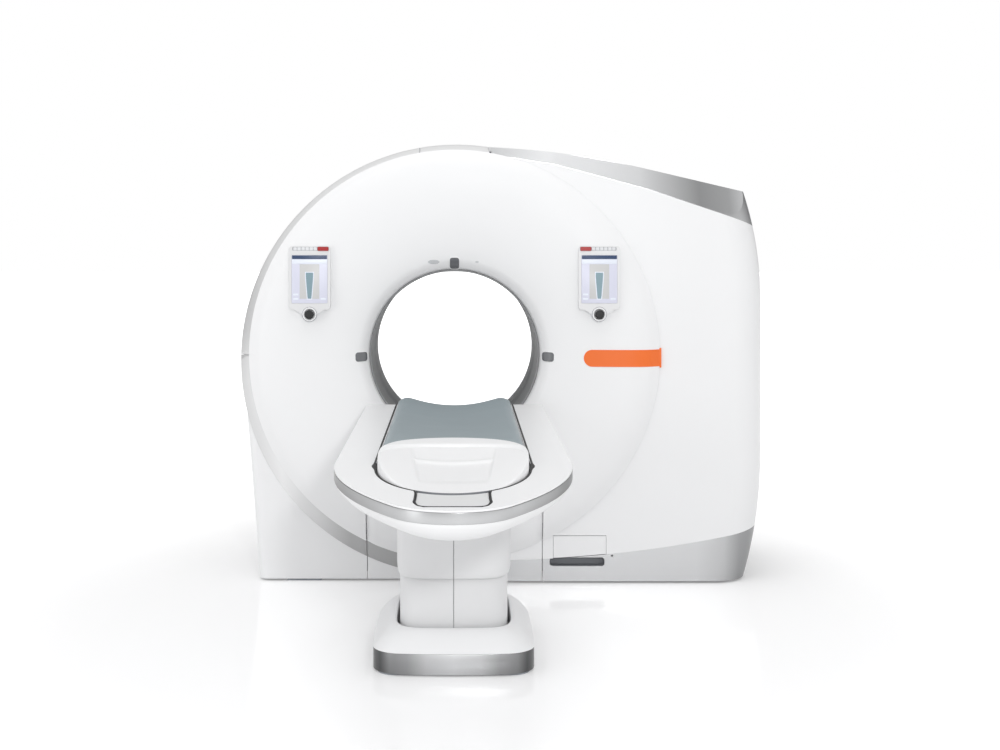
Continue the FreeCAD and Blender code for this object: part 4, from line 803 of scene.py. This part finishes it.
def make_seal():
    """Black rubber seal along the cradle's channel, which is also painted shade in the gap
    beside it, and a dark strip of painted shade in the gap round the end tab.
    """
    length, tab_length = 0.4855, 0.4790         # from the nose's widest place
    turn = np.linspace(0.10, 1.105, 40)
    nose = at(NOSE_HALF * np.cos(turn), NOSE_Y - length * np.sin(turn))
    side_line = smooth([(0.2650, DECK_HEAD - 0.004), (0.2650, -1.200), (0.2650, -2.080),
                        (0.2635, -2.180), (0.2580, -2.240)], 8)
    notch = smooth([nose[-1], (0.1112, -2.690), (0.1108, -2.800), (0.1072, -2.850),
                    (0.0980, -2.882), (0.0820, -2.8965), (0.0550, -2.900), (0, -2.900)], 6)
    path = np.vstack([side_line, nose, notch[1:]])
    path = np.vstack([path, path[-2::-1] * [-1, 1]])
    along = np.gradient(path, axis=0)
    along /= np.linalg.norm(along, axis=1, keepdims=True)
    side = at(along[:, 1], -along[:, 0])
    half, low, high = 0.0034, 0.8290, 0.8374
    section = [(-half, low), (-half, high - 0.0008), (-half * 0.6, high), (half * 0.6, high),
               (half, high - 0.0008), (half, low)]
    wide = 1 + 1.9 * np.exp(-((path[:, 1:] + 2.205) / 0.045) ** 2)
    rings = [at(*(path + side * s * wide).T, z) for s, z in section]
    built("channel_seal_and_painted_shade", np.stack(rings, 1), "table_top", "white_cover", "black", **TUBE)
    # A thin dark strip in the gap round the end tab: painted shade.
    turn = np.linspace(1.12, math.pi - 1.12, 30)
    thin, top = 0.0009, 0.8368
    rings = [at((NOSE_HALF + grow) * np.cos(turn),
                NOSE_Y - (tab_length + grow) * np.sin(turn), z)
             for grow, z in ((-thin, low), (-thin, top), (thin, top), (thin, low))]
    built("tab_gap_painted_shade", np.stack(rings, 1), "table_top", "white_cover", "line", **TUBE)


def half_frame(half, centre, radius):
    """Right half of a rounded rectangle's plan as a function of its inset."""
    def chain(inset):
        hx, hy, r = half[0] - inset, half[1] - inset, max(radius - inset, 0.002)
        turn = np.radians(np.linspace(-90, 0, 16))
        front = at(hx - r + r * np.cos(turn), centre - hy + r + r * np.sin(turn))
        rear = front[::-1] * [1, -1] + [0, 2 * centre]
        x = np.linspace(0, hx - r, 10)[:-1]
        side = at(hx, np.linspace(centre - hy + r, centre + hy - r, 10)[1:-1])
        return np.vstack([at(x, centre - hy), front, side, rear, at(x[::-1], centre + hy)])
    return chain


def oval(turn, half):
    """The column's plan, a squarish oval with |x / a| ** p + |y / b| ** p = 1, as a function
    of its inset; turn holds the directions from its centre."""
    power = 5.0
    def chain(inset):
        a, b = half[0] - inset, half[1] - inset
        reach = (np.abs(np.cos(turn) / a) ** power + np.abs(np.sin(turn) / b) ** power)
        reach = reach ** (-1 / power)
        return at(reach * np.cos(turn), COLUMN_Y + reach * np.sin(turn))
    return chain


def make_column():
    """Two pairs of column covers, each split down the middle."""
    turn = np.radians(np.linspace(0, 90, 7))
    foot = [(0.0092 * (1 - math.cos(t)), 0.378 - 0.042 * math.sin(t)) for t in turn]
    upper = [(0, 0.7279), (0, 0.60), (0, 0.46)] + foot + [(0.0098, 0.3362), (0.0098, 0.37),
                                                         (0.0098, 0.7279)]
    lower = [(0.0008, 0.448), (0, 0.4472), (0, 0.30), (0, 0.17), (0, 0.0205), (0.005, 0.0205),
             (0.005, 0.448)]
    turn = np.radians(np.linspace(-90, 90, 73))
    for name, body, half, profile in (
            ("upper_column_covers", "table_top", UPPER_HALF, upper),
            ("lower_column_covers", "gantry", LOWER_HALF, lower)):
        right = swept(oval(turn, half), profile)
        right[..., 0] = np.maximum(right[..., 0], SPLIT)
        built(name + "_skin", [right, mirrored(right)], body, "white_cover", "column", name,
              **TUBE)


def bow(p):
    """Bows the plinth's front, rear and sides a little, as its plan has no straight edge."""
    away, side = (p[:, 1] - PLINTH_Y) / PLINTH_HALF[1], p[:, 0] / PLINTH_HALF[0]
    p[:, 1] -= np.sign(away) * np.abs(away) ** 3 * 0.020 * side ** 2
    p[:, 0] -= np.sign(side) * np.abs(side) ** 3 * 0.008 * away ** 2
    return p


def make_plinth():
    """Metal band of the table's foot and the soft white roof over it, with an open channel
    round the column that the upper covers come down into."""
    chain = half_frame(PLINTH_HALF, PLINTH_Y, 0.100)
    def full(profile):
        right = swept(chain, profile)
        return np.concatenate([right, mirrored(right)[::-1]])
    band = [(0.0010, 0.0822), (0.0003, 0.0816), (0, 0.0808), (0, 0.0080), (0.0008, 0.0064),
            (0.003, 0.006), (0.006, 0.006), (0.006, 0.0822)]
    piece = solid("plinth_band_skin", full(band), **RING)
    moved(piece.data, bow)
    shaded(piece.data)
    finished(piece, "gantry", "silver_band", "foot", "plinth_band")
    roof = bow(full([(0, PLINTH_SIDE_Z)])[:, 0])
    turn = np.arctan2(roof[:, 1] - COLUMN_Y, roof[:, 0])
    def ring(grow, z, half=UPPER_HALF):
        return at(*oval(turn, half)(-grow).T, z)[None]
    t = np.linspace(0, 1, 15)[:, None, None]    # from the band to the channel
    slope, lip, drop = 0.0740, 0.004, 0.0022
    rise = slope * (1 - (1 - t) ** 1.7) + lip * np.minimum(t / 0.05, 1) - drop
    rise[0] = 0
    top = roof[None] * (1 - t) + ring(0.0045, PLINTH_SIDE_Z) * t + rise * [0, 0, 1]
    channel = [ring(grow, z) for grow, z in (
        (0.0030, 0.1583), (0.0018, 0.1573), (0.0012, 0.1558), (0.0012, 0.0640))]
    channel += [ring(0.0010, z, LOWER_HALF) for z in (0.0640, 0.0610)] + [ring(0.0045, 0.0610)]
    under = top[::-1] - [0, 0, BOWL_WALL]
    under[-1, :, 2] = PLINTH_SIDE_Z
    built("plinth_cover_skin", np.concatenate([top] + channel + [under[:-1]]), "gantry",
          "white_cover", "white", "plinth_cover", **RING)


def board_top(x):
    """Height of the dished board's top across it."""
    radius = (CAP_HALF ** 2 + BOARD_SAG ** 2) / (2 * BOARD_SAG)
    return BOARD_EDGE - BOARD_SAG + radius - np.sqrt(radius ** 2 - x ** 2)


# Top of the end moulding across the cradle: y, height at its edges and dip in the middle.
CAP_TOP = np.array([(-2.700, 0.832, 0.004), (-2.450, 0.868, 0.030), (-2.220, 0.887, 0.037),
                    (-2.000, 0.893, 0.029), (-1.815, 0.895, 0.024)])
CAP_CURVE = smooth(CAP_TOP, 12)
# Depth of the grip that is scooped out of it: y and depth.
GRIP_FLOOR = np.array([(-2.525, 0), (-2.470, 0.0045), (-2.222, 0.0100), (-2.206, 0.0092),
                       (-2.192, 0.0034), (-2.178, 0.0030), (-2.150, 0.0072), (-2.060, 0.0030),
                       (-2.010, 0)])


def cap_top(x, y):
    """Height of the end moulding: a dished saddle, a raised rear rim and a scooped grip."""
    edge = np.interp(y, CAP_CURVE[:, 0], CAP_CURVE[:, 1])
    dip = np.interp(y, CAP_CURVE[:, 0], CAP_CURVE[:, 2])
    z = edge - dip * (1 - (x / 0.26) ** 2)
    rear = y > CAP_Y
    inner = np.hypot(x / (CAP_HALF - 0.004), (y - CAP_Y) / 0.262)
    z += 0.0080 * np.where(rear, step(inner, 0.985, 1.03), 0)
    z -= 0.0030 * np.where(rear, np.exp(-((inner - 0.985) / 0.018) ** 2), 0)
    inside = np.interp(y, GRIP_FLOOR[[0, -1], 0], [0.112, 0.150]) - np.abs(x)
    wall = step(inside, 0, np.where(x > 0, 0.007, 0.014))
    z -= wall * np.interp(y, GRIP_FLOOR[:, 0], GRIP_FLOOR[:, 1])
    length = np.where(rear, CAP_REAR, CAP_FRONT)
    place = np.hypot(x / CAP_HALF, (y - CAP_Y) / length)
    steep = np.hypot(x / CAP_HALF ** 2, (y - CAP_Y) / length ** 2) / np.maximum(place, 1e-6)
    steep = np.maximum(steep, 1e-6)
    return z - rolled((1 - place) / steep, 0.009, 0.008)


def make_foot_cap():
    """White oval end moulding of the cradle: a fine grid for its top, another below it."""
    along = np.sin(np.linspace(-math.pi / 2, math.pi / 2, 181))
    y = CAP_Y + np.where(along < 0, along * CAP_FRONT, along * CAP_REAR)
    width = CAP_HALF * np.sqrt(np.clip(1 - along ** 2, 0, 1))
    across = np.sin(np.linspace(-math.pi / 2, math.pi / 2, 131))
    across = 0.45 * across + 0.55 * np.linspace(-1, 1, 131)
    x = width[:, None] * across[None, :]
    y = y[:, None] + 0 * x
    top = at(x, y, cap_top(x, y))
    below = np.where(y > BOARD_FOOT, board_top(x) + 0.0004, 0.8055)
    below = np.minimum(below, top[..., 2] - 0.002)
    bottom = at(x, y, below)
    rim = [np.concatenate([g[:, -1], g[-2::-1, 0]]) for g in (top, bottom)]
    built("foot_cap_skin", [top, bottom, np.stack(rim, 1)], "cradle", "white_cover", "white",
          "foot_cap", angle=50.0)


def make_mattress():
    """Grey pad on the board: crowned by a cloth simulation under pressure.

    The form follows the board below, and above it is a shallower dish; at the foot it
    ends along the oval moulding, at the head in two round corners.
    """
    half, head, corner = 0.2485, -0.7165, 0.055
    foot_gap = 0.0015
    across = np.sin(np.linspace(-math.pi / 2, math.pi / 2, 61))
    across = 0.35 * across + 0.65 * np.linspace(-1, 1, 61)
    x = half * across[None, :]
    start = CAP_Y + CAP_REAR * np.sqrt(np.clip(1 - (x / CAP_HALF) ** 2, 0, 1)) + foot_gap
    start = np.maximum(start, CAP_Y + 0.060)
    near = np.clip((np.abs(x) - (half - corner)) / corner, 0, 1)
    end = head - corner * (1 - np.sqrt(1 - near ** 2))
    t = np.linspace(0, 1, 101)[:, None]
    y = start + (end - start) * t
    x = x + 0 * y
    rise = 0.031 + 0.025 * step(y, -1.5, -0.75)
    roll = 0.014 + 0.046 * step(y, -1.7, -0.80)
    ends = np.minimum(y - start, head - y) * 0.7
    edge = roll - np.hypot(np.maximum(roll - (half - np.abs(x)), 0),
                           np.maximum(roll - ends, 0))
    high = 0.862 + 0.004 * step(y, -1.5, -0.75) + rise * (x / 0.250) ** 2
    high -= rolled(np.maximum(edge, 0), roll, 0.60 * roll)
    low = board_top(x) + 0.0006
    high = np.maximum(high, low + 0.004)
    piece = solid("mattress_skin", framed(at(x, y, high), at(x, y, low)), angle=60.0)
    puffed(piece)
    finished(piece, "cradle", "grey_vinyl", "vinyl", "mattress")


def puffed(piece):
    """Blows the pad up as cloth under pressure; each point moves at most the cap, and the
    underside, which lies on the board, stays where it is."""
    voxel, pressure, frames, cap, passes = 0.006, 4.0, 20, 0.006, 14
    bpy.context.view_layer.objects.active = piece
    remesh = piece.modifiers.new("even", "REMESH")
    remesh.mode, remesh.voxel_size = "VOXEL", voxel
    baked = bpy.data.meshes.new_from_object(
        piece.evaluated_get(bpy.context.evaluated_depsgraph_get()))
    piece.modifiers.clear()
    piece.data = baked
    start = coordinates(baked)
    cloth = piece.modifiers.new("cloth", "CLOTH")
    sheet = cloth.settings
    sheet.use_pressure, sheet.uniform_pressure_force = True, pressure
    sheet.effector_weights.gravity = 0
    sheet.quality = 4
    cloth.collision_settings.use_collision = False
    scene = bpy.context.scene
    for number in range(1, frames + 1):
        scene.frame_set(number)
    shape = piece.evaluated_get(bpy.context.evaluated_depsgraph_get()).to_mesh()
    after = coordinates(shape)
    piece.modifiers.clear()
    scene.frame_set(1)
    move = after - start
    size = np.linalg.norm(move, axis=1, keepdims=True)
    move *= np.minimum(1.0, cap / np.maximum(size, 1e-9))
    above = start[:, 2] - board_top(start[:, 0])
    points = start + move * step(above, 0.002, 0.018)[:, None]
    piece.data.vertices.foreach_set("co", points.ravel())
    work = bmesh.new()
    work.from_mesh(piece.data)
    for _ in range(passes):
        bmesh.ops.smooth_vert(work, verts=work.verts[:], factor=0.5, use_axis_x=True,
                              use_axis_y=True, use_axis_z=True)
    work.to_mesh(piece.data)
    work.free()
    outward(piece.data)
    shaded(piece.data, 80.0)
    print("pad blown up by %.4f m at most" % np.linalg.norm(points - start, axis=1).max())


# ------------------------------------------------------------------- floor
def larger(tree, one, other):
    """A node that gives the larger of two values."""
    return node(tree, "ShaderNodeMath", {0: one, 1: other}, operation="MAXIMUM")


def make_stage():
    """Pale polished floor, white to the eye, that keeps shadows and reflections."""
    points = np.array([[(-40, -12, 0), (-40, 60, 0)], [(40, -12, 0), (40, 60, 0)]], float)
    floor = linked("floor", grid_mesh("floor", points))
    made = bpy.data.materials.new("floor_gloss")
    made.use_nodes = True
    tree = made.node_tree
    tree.nodes.remove(tree.nodes["Principled BSDF"])
    matt = node(tree, "ShaderNodeBsdfDiffuse", {"Color": (0.86, 0.86, 0.865, 1)})
    mirror = node(tree, "ShaderNodeBsdfAnisotropic", {"Color": (1, 1, 1, 1),
                                                      "Roughness": 0.10})
    coat = node(tree, "ShaderNodeMixShader", {0: FLOOR_MIRROR, 1: matt, 2: mirror})
    place = node(tree, "ShaderNodeTexCoord").outputs["Object"]
    centre = node(tree, "ShaderNodeVectorMath", {0: place, 1: (0, 1.0, 0)}, operation="ADD")
    away = node(tree, "ShaderNodeVectorMath", {0: centre}, operation="LENGTH")
    fade = node(tree, "ShaderNodeMapRange", {
        "Value": away.outputs["Value"], "From Min": FLOOR_NEAR, "From Max": FLOOR_FAR,
        "To Min": FLOOR_LIFT, "To Max": FLOOR_LIFT_FAR}, interpolation_type="SMOOTHSTEP")
    rays = node(tree, "ShaderNodeLightPath").outputs
    eye = larger(tree, rays["Is Camera Ray"], rays["Is Glossy Ray"])
    lift = node(tree, "ShaderNodeMath", {0: eye, 1: fade}, operation="MULTIPLY")
    glow = node(tree, "ShaderNodeEmission", {"Color": (1, 1, 1, 1), "Strength": lift})
    both = node(tree, "ShaderNodeAddShader", {0: coat, 1: glow})
    plug(tree, tree.nodes["Material Output"], {"Surface": both})
    floor.data.materials.append(made)


def make_world():
    """Even light from all round; white for the eye, and for reflections bright in front of
    the object and dark behind it."""
    world = bpy.data.worlds.new("studio")
    bpy.context.scene.world = world
    world.use_nodes = True
    tree = world.node_tree
    rays = node(tree, "ShaderNodeLightPath").outputs
    seen = larger(tree, rays["Is Camera Ray"], rays["Is Glossy Ray"])
    clear = larger(tree, rays["Is Transmission Ray"], seen)
    level = node(tree, "ShaderNodeMapRange", {"Value": clear, "To Min": WORLD_LEVEL,
                                              "To Max": 1.0})
    place = node(tree, "ShaderNodeTexCoord").outputs["Generated"]
    y = node(tree, "ShaderNodeSeparateXYZ", {0: place}).outputs["Y"]
    behind = node(tree, "ShaderNodeMapRange", {"Value": y, "From Min": -0.35,
                                               "From Max": 0.75, "To Min": 1.0,
                                               "To Max": 0.16})
    shade = node(tree, "ShaderNodeMix", {0: rays["Is Glossy Ray"], 2: level, 3: behind},
                 data_type="FLOAT")
    plug(tree, tree.nodes["Background"], {"Color": (1, 1, 1, 1), "Strength": shade})


def make_lights():
    """Round area lamps."""
    for name, place, aim, width, power in LAMPS:
        data = bpy.data.lights.new(name, "AREA")
        data.shape, data.size, data.energy = "DISK", width, power
        lamp = bpy.data.objects.new(name, data)
        bpy.context.scene.collection.objects.link(lamp)
        lamp.location = place
        away = np.array(place) - np.array(aim)
        flat = math.hypot(away[0], away[1])
        lamp.rotation_euler = (math.atan2(flat, away[2]), 0,
                               math.atan2(away[1], away[0]) + math.pi / 2)


# ------------------------------------------------------------------- build
M = make_materials()
make_camera()
make_stage()
make_world()
make_lights()
make_disc()
make_bands()
make_orange()
make_lasers()
make_marks()
make_tunnel()
make_station("left", -1)
make_station("right", 1)
make_deck()
make_column()
make_plinth()
make_foot_cap()
make_mattress()
island("lower_front_panel",
       lambda x, y, z: y > -0.41 and math.hypot(x, z - ISO) > DISC + 0.0005,
       "white_cover", "white", 0.0)
island("panel_band", lambda x, y, z: x > 0.2015, "silver_band", "silver")

SKINS = [  # CAD nodes whose shape is right: body, slot, finish, broken edge, names
    ("gantry", "white_cover", "white", 0.0,
     ["left_side_cover", "right_side_cover", "top_cover", "rear_cover"]),
    ("gantry", "white_cover", "panel", 0.002, ["panel_housings"]),
    ("gantry", "silver_band", "trim", 0.0, ["top_trim"]),
    ("gantry", "silver_band", "skirt", 0.0012, ["skirt"]),
    ("cradle", "carbon_board", "board", 0.002, ["cradle"]),
    ("access_flap", "white_cover", "white", 0.0012, ["access_flap"]),
    ("left_stop_button", "stop_red", "red", 0.0012, ["left_stop_button"]),
    ("right_stop_button", "stop_red", "red", 0.0012, ["right_stop_button"]),
]
for body, slot, material, edge, names in SKINS:
    for name in names:
        finished(skin(name, edge), body, slot, material, name)
skirt = bpy.data.objects["skirt_skin"]     # the recess of its grip is painted darker: painted shade in the hollow
skirt.data.materials.append(M["line"])
for face in skirt.data.polygons:
    x, y, z = face.center
    if 0.44 < x < 0.70 and 0.07 < z < 0.125 and y > BODY_Y + 0.002:
        face.material_index = 1

PAINT = {"painted_steel": "frame", "machined_steel": "steel", "cast_metal": "cast",
         "dark_metal": "dark", "copper": "copper", "black_plastic": "black",
         "grey_plastic": "dark"}
slots = {s["node"]: s["material_slot"] for s in frame["record"]["subparts"]}
for name, piece in nodes.items():
    if slots[name] in PAINT:
        for index in range(len(piece.material_slots)):
            piece.material_slots[index].material = M[PAINT[slots[name]]]

bpy.context.scene.view_settings.view_transform = "Standard"
